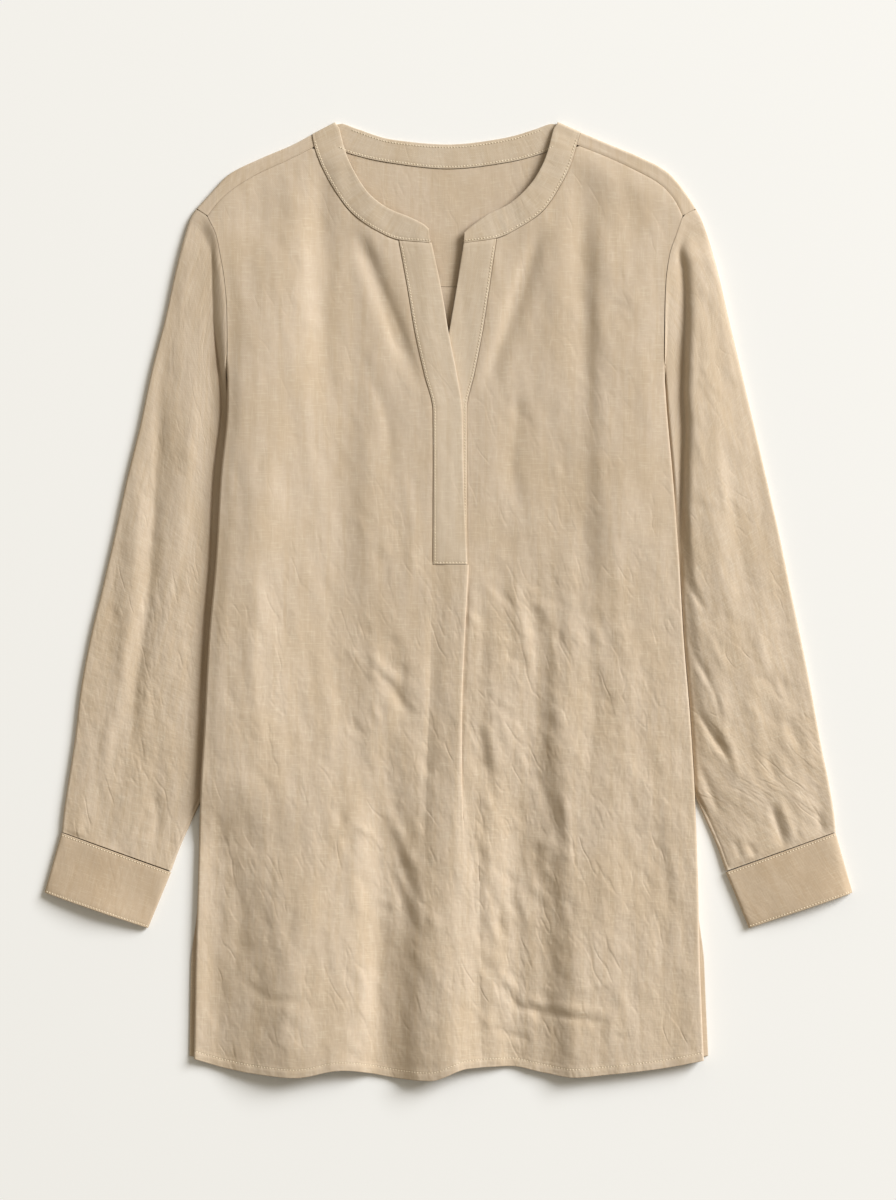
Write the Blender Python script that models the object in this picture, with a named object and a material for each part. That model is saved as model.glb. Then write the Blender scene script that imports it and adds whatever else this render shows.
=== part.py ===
"""Long-sleeved tunic top in linen, laid flat and face up.

The frame: +X to the viewer's right, +Y towards the neck, +Z up, origin under the middle of the garment.
Sizes are written in millimetres and turned to metres when a mesh is made.

Each sewn piece is one sheet of points at the middle of its cloth, which a Solidify modifier gives its
wall. The back lies on the surface. The front lies on the back, with its folds standing up. The sleeves
are flattened tubes whose inner edges are tucked under the sides of the body.
"""

from bisect import bisect
from collections import namedtuple
from math import exp

import bpy
from mathutils import Vector

MM = 0.001

# Walls and gaps
CLOTH = 1.2
FACED = 1.6
SEAM = 0.3

# Heights of the middle of the cloth above the surface
LYING = CLOTH / 2
FACED_LYING = FACED / 2
FOLD_RADIUS = 1.4
FOLDED_TOP = LYING + 2 * FOLD_RADIUS
FRONT_TOP = 5.4
LAP_RISE = 2.0
SIDE_SWELL = 2.0
TUCKED_TOP = LYING + CLOTH + SEAM

# Lengths down the garment
SLEEVE_TOP_Y = 333.0
YOKE_TIP_Y = 327.0
UNDERARM_Y = 194.0
YOKE_SEAM_Y = 267.0
PLACKET_END_Y = 30.6
VENT_TOP_Y = -285.0
VENT_SHOW = 4.0

Side = namedtuple("Side", "y left right")
SIDE_EDGE = [
    Side(327, -205, 199),
    Side(311, -197.5, 193.5),
    Side(295, -194, 188),
    Side(271, -190, 184.5),
    Side(247, -188, 183.5),
    Side(206, -187.5, 183),
    Side(170, -187.5, 185),
    Side(102, -193.5, 191),
    Side(34, -197.5, 196),
    Side(-34, -203.5, 200),
    Side(-102, -207, 205.5),
    Side(-170, -211, 209.5),
    Side(-238, -213, 212),
    Side(-306, -215, 213.5),
    Side(-392, -216.5, 217),
]

BACK_ARMHOLE = [
    Side(333, -214, 210),
    Side(311, -206, 202),
    Side(295, -201, 197),
    Side(271, -195.5, 191),
    Side(247, -191, 187),
    Side(206, -188, 184),
    Side(194, -187.5, 183.5),
]

Hem = namedtuple("Hem", "x y")
FRONT_HEM = [
    Hem(-219, -389),
    Hem(-190, -397.5),
    Hem(-160, -402.5),
    Hem(-130, -405),
    Hem(-91, -399),
    Hem(-39, -406.5),
    Hem(-16, -407.5),
    Hem(16, -397.5),
    Hem(52, -396),
    Hem(82, -401.5),
    Hem(106, -405),
    Hem(131, -403),
    Hem(180, -397.5),
    Hem(218, -390.5),
]
BACK_HEM = [Hem(-221, -387.5), Hem(-185, -394), Hem(185, -394), Hem(221, -387.5)]

# The fold over each shoulder and the seam in front of it, from the neck out to the sleeve
Shoulder = namedtuple("Shoulder", "out fold_x fold_y seam_x seam_y")
SHOULDER_LEFT = [
    Shoulder(0.0, -116, 396, -114, 386),
    Shoulder(0.25, -133, 387, -138, 374),
    Shoulder(0.5, -160, 375.5, -162, 363),
    Shoulder(0.75, -186, 362.5, -184, 349.5),
    Shoulder(0.9, -203, 345, -196, 338.5),
    Shoulder(1.0, -214, 333, -205, 327),
]
SHOULDER_RIGHT = [
    Shoulder(0.0, 112, 398, 109, 387.5),
    Shoulder(0.25, 136, 388, 132, 378.5),
    Shoulder(0.5, 162, 377, 157, 367),
    Shoulder(0.75, 185, 365, 180, 354),
    Shoulder(0.9, 201, 347, 192, 341),
    Shoulder(1.0, 210, 333, 199, 327),
]

# The neckband: its sewn edge and its free edge, from the placket round to the fold at the shoulder
Band = namedtuple("Band", "round seam_x seam_y edge_x edge_y")
BAND_LEFT = [
    Band(0.0, -16, 304, -17, 317),
    Band(0.15, -42, 306.5, -33, 325.5),
    Band(0.3, -62, 315, -50, 332.5),
    Band(0.45, -82.5, 330, -66.5, 344.5),
    Band(0.6, -98.5, 352, -79, 362.5),
    Band(0.75, -108.5, 371, -87, 379.5),
    Band(0.9, -114, 386, -91.5, 395),
    Band(1.0, -116, 396, -94, 407.5),
]
BAND_RIGHT = [
    Band(0.0, 13, 304, 13.5, 313.5),
    Band(0.15, 40.5, 308, 33, 327.5),
    Band(0.3, 60, 317, 50, 336),
    Band(0.45, 79.5, 330.5, 63.5, 347),
    Band(0.6, 94.5, 352, 74.5, 360.5),
    Band(0.75, 103.5, 370, 82.5, 376.5),
    Band(0.9, 109, 387.5, 87.5, 393.5),
    Band(1.0, 112, 398, 90.5, 407.5),
]
BAND_BACK = [
    Band(0.0, -116, 396, -94, 407.5),
    Band(0.12, -89, 382, -77, 401),
    Band(0.3, -52, 373, -47, 392),
    Band(0.5, 0, 367.5, 0, 388),
    Band(0.7, 50, 373, 45, 393),
    Band(0.88, 85, 382.5, 74, 401),
    Band(1.0, 112, 398, 90.5, 407.5),
]

# Rows of the front between its top edge and the end of the placket, as shares of that height
ROWS_ABOVE = [0, 0.02, 0.07, 0.14, 0.22, 0.31, 0.4, 0.5, 0.6, 0.7, 0.8, 0.9, 1.0]
FRONT_ROWS_BELOW = 17
PLACKET_ROWS = 14
# Rows of the back and the yoke that meet the sleeve
BACK_ARM_ROWS = [230, 206]
BACK_SIDE_ROWS = [190, 160, 120, 70, 20, -30, -80, -130, -178, -192, -206, -240, -285, -340]
# Columns of the back from its side edge to where it lies flat beyond the tucked sleeve
BACK_INSETS = [0, 14, 29.5, 42]
YOKE_ARM_PARTS = 4
# Places along the shoulder, the neckband and the back of the neck where both pieces have a point
SHOULDER_STEPS = [1.0, 0.985, 0.95, 0.87, 0.77, 0.66, 0.55, 0.43, 0.3, 0.15]
NECK_STEPS = [0.15, 0.225, 0.3, 0.375, 0.45, 0.525, 0.6, 0.675, 0.75, 0.9]
BAND_STEPS = [0.0, 0.075] + NECK_STEPS
BACK_STEPS = [0.08, 0.16, 0.26, 0.38, 0.5, 0.62, 0.74, 0.84, 0.92]

# The placket strips: their edges at some heights, from the neck to the stitched end
Placket = namedtuple("Placket", "y upper_left upper_right lower_left lower_right")
PLACKET = [
    Placket(306, -42, -14.5, 13, 40.5),
    Placket(265, -34.5, -6, 6.5, 34.5),
    Placket(229, -28.5, 0, 0.5, 29),
    Placket(193, -20.5, 7, -5, 22),
    Placket(161, -13, 11.5, -10.5, 15.3),
    Placket(119, -12.7, 12.3, -11, 15.5),
    Placket(30.6, -13, 15.5, -11.5, 16),
]

# The pleat: its left root, its folded edge, its right root and how much of the fold goes under
Pleat = namedtuple("Pleat", "y left_x edge_x right_x folded")
PLEAT = [
    Pleat(30.6, -13.3, 16.6, 16.3, 1.0),
    Pleat(-30, -17, 13.5, 17, 1.0),
    Pleat(-90, -19, 11, 18, 0.8),
    Pleat(-170, -21, 9, 22, 0.35),
    Pleat(-240, -23, 8, 26, 0.0),
    Pleat(-400, -25, 7, 28, 0.0),
]
# A section across the pleat: folded flat, and let out to a soft ridge
Section = namedtuple("Section", "across_folded up_folded across_open up_open")
PLEAT_SECTION = [
    Section(-22, 2.6, -24, 0.9),
    Section(-12, 3.2, -16, 2.0),
    Section(-1.2, 3.2, -7, 2.8),
    Section(0, 2.4, -1, 3.0),
    Section(-1.2, 1.6, 4, 2.6),
    Section(-13, 1.6, 9, 1.8),
    Section(-14, 0.8, 13, 1.0),
    Section(-13, 0, 17, 0.4),
]

# Soft folds of the front: the line that each runs along, its half width, its rise and its faded ends
Fold = namedtuple("Fold", "top_x top_y low_x low_y width rise top_fade low_fade")
FOLDS = [
    Fold(-120, -60, -130, -460, 34, 11.0, 320, 20),
    Fold(-14, -120, -20, -460, 23, 9.0, 260, 20),
    Fold(100, -90, 116, -460, 32, 11.5, 300, 20),
    Fold(-60, -120, -64, -460, 14, -2.2, 120, 20),
    Fold(60, -110, 50, -460, 18, -2.4, 120, 20),
    Fold(-108, 385, -104, 130, 11, -1.6, 40, 90),
    Fold(114, 385, 122, 130, 11, -1.6, 40, 90),
    Fold(-142, 340, -150, 20, 20, 1.8, 60, 120),
    Fold(152, 340, 158, -60, 20, 1.8, 60, 120),
    Fold(-78, 318, -30, 165, 9, -1.4, 40, 60),
    Fold(84, 330, 34, 160, 9, -1.4, 40, 60),
    Fold(-52, -20, -30, -130, 9, -1.8, 40, 50),
    Fold(70, 60, 84, -200, 12, 1.8, 90, 90),
]

Level = namedtuple("Level", "y rise")
BACK_LIFT = [Level(206, 0), Level(190, 3.0), Level(-178, 3.0), Level(-206, 0)]
FRONT_EDGE = [Level(190, 5.3), Level(166, 5.3), Level(-178, 5.3), Level(-210, 2.8), Level(-400, 2.6)]

# Rings down the sleeves: the outer fold and the inner fold of each
Ring = namedtuple("Ring", "number left_x right_x outer_y inner_left_x inner_right_x inner_y inner_top")
RINGS = [
    Ring(0, -214, 210, 333, -187.8, 184.2, 194, 5.3),
    Ring(0.4, -219, 214.5, 325, -189.3, 186, 188, 3.0),
    Ring(1, -225, 221, 307, -188.3, 185.6, 176, 2.1),
    Ring(2, -232, 229, 279, -186, 184.5, 153, 2.1),
    Ring(3, -240, 237.5, 242, -177, 177, 122, 2.1),
    Ring(4, -252, 248.5, 196, -171.5, 171.5, 89, 2.1),
    Ring(5, -262, 259.5, 149, -169, 169.5, 55, 2.1),
    Ring(6, -273.5, 270.5, 102, -171.5, 171.5, 21, 2.1),
    Ring(7, -283.5, 281, 56, -174.5, 174.5, -13, 2.1),
    Ring(8, -294.5, 290.5, 9, -179, 180, -47, 2.1),
    Ring(9, -304.5, 299.5, -33, -185, 185.5, -81, 2.1),
    Ring(10, -312.5, 308, -76, -191.5, 193.5, -115, 2.1),
    Ring(11, -317.5, 315.5, -118, -201, 202.5, -149, 2.1),
    Ring(12, -323.5, 323.5, -157, -216, 217, -181, 2.1),
    Ring(13, -327, 327.5, -181, -229, 229.5, -210, 3.6),
    Ring(14, -328.5, 329, -197, -236.5, 236.5, -230, 4.6),
]
SLEEVE_TOP = [Level(340, 4.6), Level(290, 6.6), Level(200, 9.4), Level(-60, 9.4), Level(-190, 6.0)]
ARMHOLE_RINGS = 2
LAST_TUCKED_RING = 11
CREVICE = 2.6
CREVICE_LAST = 0.97
CREVICE_WIDTH = 15.0
CREVICE_START_Y = 300.0
CREVICE_FULL_Y = 245.0
ROUNDING = 16.0
SLEEVE_FOLD_RADIUS = 2.6
CUFF_RADIUS = 2.1

# Each cuff: its outer and inner corners at the seam and at the hand, mirrored for the other side
CUFF_OUTER_TOP = (328.6, -197.3)
CUFF_INNER_TOP = (236.6, -230.6)
CUFF_OUTER_END = (343.0, -248.6)
CUFF_INNER_END = (256.3, -278.4)

# A section across a cuff's upper layer: shares of its width, and the rise above its folded edges
Bulge = namedtuple("Bulge", "across rise")
CUFF_BULGE = [Bulge(0.15, 0.5), Bulge(0.35, 0.9), Bulge(0.65, 0.8), Bulge(0.85, 0.4)]

LINEN = (0.604, 0.497, 0.366, 1.0)
FACED_LINEN = (0.578, 0.471, 0.342, 1.0)


def follow(table, at, column):
    """Read a column at a place between the rows of a table, on a smooth curve that never overshoots."""
    rows = sorted(table)
    places = [row[0] for row in rows]
    values = [getattr(row, column) for row in rows]
    if at <= places[0]:
        return values[0]
    if at >= places[-1]:
        return values[-1]
    slopes = [(values[i + 1] - values[i]) / (places[i + 1] - places[i]) for i in range(len(rows) - 1)]
    bends = [slopes[0]]
    for before, after in zip(slopes, slopes[1:]):
        same_way = before * after > 0
        bends.append(2 * before * after / (before + after) if same_way else 0.0)
    bends.append(slopes[-1])
    i = bisect(places, at) - 1
    step = places[i + 1] - places[i]
    t = (at - places[i]) / step
    start = values[i] + (bends[i] * step * t * (1 - t) * (1 - t))
    rise = (values[i + 1] - values[i]) * t * t * (3 - 2 * t)
    return start + rise - bends[i + 1] * step * t * t * (1 - t)


def smooth(start, end, value):
    """Go from 0 at start to 1 at end, without a corner."""
    t = min(1.0, max(0.0, (value - start) / (end - start)))
    return t * t * (3 - 2 * t)


def mix(first, last, share):
    """Go in a straight line from first to last."""
    return first + (last - first) * share


def spread(first, last, parts):
    """List the places that cut a length into equal parts, with both ends."""
    return [mix(first, last, i / parts) for i in range(parts + 1)]


def fold_rise(x, y, fold):
    """Tell how far one soft fold lifts the front at a point."""
    down = (fold.top_y - y) / (fold.top_y - fold.low_y)
    across = (x - mix(fold.top_x, fold.low_x, down)) / fold.width
    ends = smooth(0, fold.top_fade, fold.top_y - y) * smooth(0, fold.low_fade, y - fold.low_y)
    return fold.rise * ends * exp(-across * across)


def shoulder_fold_y(x):
    """Tell how high the folded edge of the shoulder is at x."""
    rows = [Hem(abs(row.fold_x), row.fold_y) for row in SHOULDER_LEFT]
    return follow([Hem(94, 407.5)] + rows, abs(x), "y")


def side_x(y, side):
    """Tell where the side edge of the front is at a height, on the left or on the right."""
    return follow(SIDE_EDGE, y, side)


def top_height(x, y):
    """Tell the height of the front layer, without the lap of the placket and the drop at its sides."""
    flat = FRONT_TOP + sum(fold_rise(x, y, fold) for fold in FOLDS)
    side = "left" if x < 0 else "right"
    inside = abs(side_x(y, side)) - abs(x)
    flat += SIDE_SWELL * smooth(70, 12, inside) * follow(BACK_LIFT, y, "rise") / BACK_LIFT[1].rise
    flat = max(flat, TUCKED_TOP + SEAM)
    return mix(FOLDED_TOP, flat, smooth(0, 30, shoulder_fold_y(x) - y))


def lap_height(x, y):
    """Tell how far the half that laps over stands above the other half."""
    return LAP_RISE * smooth(-95, -18, x) * smooth(-60, 20, y)


def front_height(x, y, inset, side):
    """Tell the height of the front panel, which rounds down to the side seam below the armhole."""
    height = top_height(x, y)
    edge = min(height, follow(FRONT_EDGE, y, "rise"))
    full = smooth(0, 7, inset) ** 0.5
    below_arm = smooth(UNDERARM_Y + 12, UNDERARM_Y - 20, y)
    lap = lap_height(x, y) if side == "left" else 0.0
    return mix(height, mix(edge, height, full), below_arm) + lap


def finish(name, rgba):
    """Make the plain finish of a piece."""
    material = bpy.data.materials.new(name)
    material.use_nodes = True
    shader = material.node_tree.nodes["Principled BSDF"]
    shader.inputs["Base Color"].default_value = rgba
    shader.inputs["Roughness"].default_value = 0.9
    shader.inputs["Metallic"].default_value = 0.0
    material.diffuse_color = rgba
    return material


def sheet(name, grid, wall, material, closed=False):
    """Make one piece from rows of points at the middle of its cloth, where None leaves a hole."""
    points, number = [], {}
    for r, row in enumerate(grid):
        for c, point in enumerate(row):
            if point is not None:
                number[r, c] = len(points)
                points.append(Vector(point) * MM)
    faces = []
    for r in range(len(grid) - 1):
        columns = len(grid[r])
        for c in range(columns if closed else columns - 1):
            d = (c + 1) % columns
            corners = [(r, c), (r + 1, c), (r + 1, d), (r, d)]
            if all(corner in number for corner in corners):
                faces.append([number[corner] for corner in corners])
    mesh = bpy.data.meshes.new(name)
    mesh.from_pydata(points, [], faces)
    mesh.shade_smooth()
    mesh.materials.append(material)
    piece = bpy.data.objects.new(name, mesh)
    bpy.context.collection.objects.link(piece)
    solidify = piece.modifiers.new("Wall", "SOLIDIFY")
    solidify.thickness = wall * MM
    solidify.offset = 0.0
    return piece


def front_tops(side):
    """List the points of one half's top edge, from the armhole along the yoke seam to the placket."""
    shoulder, band = (SHOULDER_LEFT, BAND_LEFT) if side == "left" else (SHOULDER_RIGHT, BAND_RIGHT)
    out = -1 if side == "left" else 1
    tops = []
    for place in SHOULDER_STEPS:
        x = follow(shoulder, place, "seam_x")
        tops.append((x, follow(shoulder, place, "seam_y") - SEAM * 1.5))
    for place in reversed(NECK_STEPS):
        x = follow(band, place, "seam_x") + out * SEAM
        tops.append((x, follow(band, place, "seam_y") - SEAM * 1.5))
    return tops


def front_half(side, hem_rows):
    """List the columns of one half of the front, from the side edge to the placket or pleat."""
    tops = front_tops(side)
    out = -1 if side == "left" else 1
    first, last = tops[0][0], tops[-1][0]
    slit = "upper_left" if side == "left" else "lower_right"
    root = "left_x" if side == "left" else "right_x"
    columns = []
    for x_top, y_top in tops:
        share = (x_top - first) / (last - first)
        column = []
        ys = [mix(y_top, PLACKET_END_Y - SEAM, step) for step in ROWS_ABOVE]
        below = ys[-1]
        edge_x = mix(side_x(-395, side), follow(PLEAT, -395, root), share)
        hem_y = follow(FRONT_HEM, edge_x, "y")
        ys += [mix(below, hem_y, step) for step in hem_rows]
        for y in ys:
            inner = follow(PLACKET, y, slit) + out * SEAM if y > below else follow(PLEAT, y, root)
            x = mix(side_x(y, side), inner, share)
            inset = abs(x - side_x(y, side))
            column.append((x, y, front_height(x, y, inset, side)))
        columns.append(column)
    return columns


def pleat_columns(rows_above, hem_rows):
    """List the columns of the pleat, which starts under the stitched end of the placket."""
    columns = []
    for section in PLEAT_SECTION:
        column = [None] * rows_above
        for step in [0.0] + hem_rows:
            y = mix(PLACKET_END_Y - SEAM, follow(FRONT_HEM, 0, "y"), step)
            folded = follow(PLEAT, y, "folded")
            across = mix(section.across_open, section.across_folded, folded)
            x = follow(PLEAT, y, "edge_x") + across
            rise = mix(section.up_open, section.up_folded, folded)
            y = mix(PLACKET_END_Y - SEAM, follow(FRONT_HEM, x, "y"), step)
            column.append((x, y, top_height(x, y) + rise))
        columns.append(column)
    return columns


def make_front(material):
    """The front: two halves beside the placket, joined below it by the pleat."""
    below = spread(0.0, 1.0, FRONT_ROWS_BELOW)[1:]
    left = front_half("left", below)
    right = front_half("right", below)
    pleat = pleat_columns(len(ROWS_ABOVE) - 1, below)
    columns = left + pleat + right[::-1]
    grid = [list(row) for row in zip(*columns)]
    return sheet("front", grid, CLOTH, material)


def make_back(material):
    """The back: flat on the surface, with its sides lifted over the tucked sleeves."""
    rows_y = [YOKE_SEAM_Y - SEAM] + BACK_ARM_ROWS + BACK_SIDE_ROWS
    grid = []
    for y in rows_y + [None]:
        row = []
        for side, out in (("left", -1), ("right", 1)):
            level = BACK_HEM[0].y if y is None else y
            edge = follow(BACK_ARMHOLE, level, side) if level > UNDERARM_Y else side_x(level, side)
            edge += out * VENT_SHOW * smooth(VENT_TOP_Y + 20, VENT_TOP_Y - 30, level)
            lift = follow(BACK_LIFT, level, "rise")
            half = []
            for inset in BACK_INSETS:
                x = edge - out * inset
                row_y = follow(BACK_HEM, x, "y") if y is None else y
                half.append((x, row_y, LYING + (lift if inset < BACK_INSETS[-1] else 0.0)))
            row += half if side == "left" else half[::-1]
        middle = len(BACK_INSETS)
        inner_left, inner_right = row[middle - 1], row[middle]
        between = []
        for share in spread(0, 1, 5)[1:-1]:
            x = mix(inner_left[0], inner_right[0], share)
            row_y = follow(BACK_HEM, x, "y") if y is None else y
            between.append((x, row_y, LYING))
        grid.append(row[:middle] + between + row[middle:])
    return sheet("back", grid, CLOTH, material)


def yoke_wing(side):
    """List one wing's columns from the sleeve to the neck: the back, the fold and the flap in front."""
    shoulder = SHOULDER_LEFT if side == "left" else SHOULDER_RIGHT
    out = -1 if side == "left" else 1
    columns = []
    for place in SHOULDER_STEPS + [0.0]:
        fold = Vector((follow(shoulder, place, "fold_x"), follow(shoulder, place, "fold_y")))
        seam = Vector((follow(shoulder, place, "seam_x"), follow(shoulder, place, "seam_y")))
        if place == 0.0:
            fold.x += out * SEAM
            seam.x += out * SEAM
        inward = (seam - fold).normalized()
        foot_x = mix(out * 116, follow(BACK_ARMHOLE, YOKE_SEAM_Y, side), place)
        column = []
        turn = fold + inward * FOLD_RADIUS
        for step in spread(0, 1, YOKE_ARM_PARTS):
            y = mix(YOKE_SEAM_Y, turn.y, step)
            x = mix(foot_x, turn.x, step)
            if place == 1.0:
                x = follow(BACK_ARMHOLE, y, side)
            column.append((x, y, LYING))
        column.append((fold.x, fold.y, LYING + FOLD_RADIUS))
        column.append((turn.x, turn.y, FOLDED_TOP))
        for step in (0.55, 1.0):
            spot = turn.lerp(seam, step)
            height = max(FOLDED_TOP, top_height(spot.x, spot.y))
            column.append((spot.x, spot.y, height))
        columns.append(column)
    return columns


def make_yoke(material):
    """The yoke: its back part lies flat, and its wings fold over the shoulders to the front seams."""
    left = yoke_wing("left")
    right = yoke_wing("right")
    back_rows = YOKE_ARM_PARTS + 1
    middle = []
    for place in BACK_STEPS:
        top_x = follow(BAND_BACK, place, "seam_x")
        top_y = follow(BAND_BACK, place, "seam_y") - SEAM
        column = [(top_x, mix(YOKE_SEAM_Y, top_y, step), LYING) for step in spread(0, 1, back_rows - 1)]
        middle.append(column + [None] * (len(left[0]) - back_rows))
    columns = left + middle + right[::-1]
    grid = [list(row) for row in zip(*columns)]
    return sheet("yoke", grid[::-1], CLOTH, material)


def band_row(table, place, height, shift=0.0):
    """List the points across the neckband at one place, from its seam to its free edge."""
    seam = Vector((follow(table, place, "seam_x"), follow(table, place, "seam_y")))
    edge = Vector((follow(table, place, "edge_x"), follow(table, place, "edge_y")))
    across = (edge - seam).normalized()
    inward = Vector((across.y, -across.x)) * shift
    row = []
    for share in (0.0, 0.5, 1.0):
        spot = seam.lerp(edge, share) + inward
        row.append((spot.x, spot.y, height(spot.x, spot.y)))
    return row


def make_neckband(material):
    """The neckband: two front parts, folded at the shoulders on to the part at the back."""
    lowest = FACED_LYING + 2 * FOLD_RADIUS
    grid = []
    for table, side in ((BAND_LEFT, 1), (BAND_RIGHT, -1)):

        def lying_in_front(x, y):
            lap = lap_height(x, y) if side == 1 else 0.0
            return max(lowest, top_height(x, y) + lap)

        part = [band_row(table, place, lying_in_front) for place in BAND_STEPS]
        turn = FOLD_RADIUS * side
        part.append(band_row(table, 1.0, lambda x, y: lowest, turn))
        part.append(band_row(table, 1.0, lambda x, y: FACED_LYING + FOLD_RADIUS))
        part.append(band_row(table, 1.0, lambda x, y: FACED_LYING, turn))
        if side == 1:
            grid += part
            grid += [band_row(BAND_BACK, place, lambda x, y: FACED_LYING) for place in BACK_STEPS]
        else:
            grid += part[::-1]
    return sheet("neckband", grid, FACED, material)


def make_placket(name, left, right, lap, band, material):
    """One placket strip, from the neckband to the stitched end."""
    grid = []
    for step in spread(0, 1, PLACKET_ROWS):
        row = []
        for share in (0.0, 0.5, 1.0):
            level = mix(PLACKET[0].y, PLACKET_END_Y, step)
            x = mix(follow(PLACKET, level, left), follow(PLACKET, level, right), share)
            place = mix(BAND_STEPS[0], NECK_STEPS[0], share if lap == 0 else 1 - share)
            top_y = follow(band, place, "seam_y") - SEAM
            y = mix(top_y, PLACKET_END_Y, step)
            row.append((x, y, top_height(x, y) + lap))
        grid.append(row)
    return sheet(name, grid, FACED, material)


def armhole_point(side, share, front):
    """Tell where the armhole's seam is, in front or at the back, from the shoulder to the underarm."""
    y = mix(SLEEVE_TOP_Y, UNDERARM_Y, share)
    if not front:
        return follow(BACK_ARMHOLE, y, side), y
    tip, corner = BACK_ARMHOLE[0], SIDE_EDGE[0]
    if y > YOKE_TIP_Y:
        down = (SLEEVE_TOP_Y - y) / (SLEEVE_TOP_Y - YOKE_TIP_Y)
        return mix(getattr(tip, side), getattr(corner, side), down), y
    return side_x(y, side), y


def ring_point(ring, side, share, front):
    """Tell where a share of the way from the outer to the inner fold of a sleeve ring lies."""
    out = -1 if side == "left" else 1
    outer = Vector((ring.left_x if side == "left" else ring.right_x, ring.outer_y))
    inner = Vector((ring.inner_left_x if side == "left" else ring.inner_right_x, ring.inner_y))
    spot = outer.lerp(inner, share)
    hole = Vector(armhole_point(side, share, front))
    tip = Vector(armhole_point(side, 0, front))
    underarm = Vector(armhole_point(side, 1, front))
    bow = (hole - tip.lerp(underarm, share)) * smooth(3, 0, ring.number)
    return spot + bow + Vector((out * SEAM * smooth(0.2, 0, ring.number), 0))


def armhole_share(y):
    """Tell how far down the armhole a height is."""
    return (SLEEVE_TOP_Y - y) / (SLEEVE_TOP_Y - UNDERARM_Y)


def front_shares():
    """List where the front's rows meet the armhole, so that the sleeve's points face them."""
    rows = [mix(YOKE_TIP_Y - SEAM, PLACKET_END_Y - SEAM, step) for step in ROWS_ABOVE]
    return [armhole_share(y) for y in rows if y > UNDERARM_Y + CLOTH]


def back_shares():
    """List where the rows of the back and the yoke meet the armhole, from the underarm up."""
    yoke_rows = spread(YOKE_SEAM_Y, SLEEVE_TOP_Y - FOLD_RADIUS, YOKE_ARM_PARTS)[:-1]
    return [armhole_share(y) for y in BACK_ARM_ROWS[::-1] + yoke_rows]


def edge_clearance(spot, side):
    """Tell how far outside the armhole or the side of the body a point lies."""
    return abs(spot.x) - abs(side_x(spot.y, side))


def crevice_share(ring, side):
    """Tell how far along a ring the sleeve goes under the side of the body, or nearly 1 if it never does."""
    share = CREVICE_LAST
    while ring.number > ARMHOLE_RINGS and share > 0.5:
        if edge_clearance(ring_point(ring, side, share, True), side) >= CREVICE:
            break
        share -= 0.005
    return share


def sleeve_height(spot, ring, side):
    """Tell the height of the sleeve's upper layer, low at the crevice beside the body."""
    if ring.number == 0:
        return max(FOLDED_TOP, top_height(spot.x, spot.y))
    plateau = follow(SLEEVE_TOP, spot.y, "rise")
    outer = ring_point(ring, side, 0, True)
    inner = ring_point(ring, side, 1, True)
    from_outer = (spot - outer).length
    from_inner = (spot - inner).length
    height = mix(LYING + 2 * SLEEVE_FOLD_RADIUS - CLOTH, plateau, smooth(-4, ROUNDING, from_outer))
    clearance = max(0.0, edge_clearance(spot, side) - CREVICE)
    dip = smooth(CREVICE_START_Y, CREVICE_FULL_Y, spot.y) * (1 - smooth(0, CREVICE_WIDTH, clearance))
    if ring.number > LAST_TUCKED_RING:
        dip = 1 - smooth(0, CREVICE_WIDTH, from_inner)
    return mix(height, ring.inner_top, dip)


def sleeve_ring(ring, side):
    """List the points round one ring of a sleeve."""
    outer = ring_point(ring, side, 0, True)
    inner = ring_point(ring, side, 1, True)
    inward = (inner - outer).normalized()
    radius = mix(FOLD_RADIUS, SLEEVE_FOLD_RADIUS, smooth(0, 2, ring.number))
    crevice = crevice_share(ring, side)
    points = [(outer.x, outer.y, LYING + radius)]
    turn = outer + inward * radius * 0.9
    points.append((turn.x, turn.y, LYING + 2 * radius))
    at_armhole = ring.number <= ARMHOLE_RINGS
    for share in front_shares() + [1.0]:
        share = share if at_armhole and share < 1.0 else share * crevice
        spot = ring_point(ring, side, share, True)
        points.append((spot.x, spot.y, sleeve_height(spot, ring, side)))
    middle = ring_point(ring, side, mix(crevice, 1.0, 0.5), True)
    points.append((middle.x, middle.y, ring.inner_top))
    low = (ring.inner_top - LYING) / 2
    turn = inner - inward * min(low, CLOTH)
    points.append((turn.x, turn.y, ring.inner_top))
    points.append((inner.x, inner.y, LYING + low))
    points.append((turn.x, turn.y, LYING))
    for share in back_shares():
        spot = ring_point(ring, side, share, False)
        points.append((spot.x, spot.y, LYING))
    turn = outer + inward * radius * 0.9
    points.append((turn.x, turn.y, LYING))
    return points


def make_sleeve(side, material):
    """A sleeve: a flattened tube from the armhole to the cuff, tucked under the side of the body."""
    grid = [sleeve_ring(ring, side) for ring in RINGS]
    return sheet("sleeve_" + side, grid, CLOTH, material, closed=True)


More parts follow.
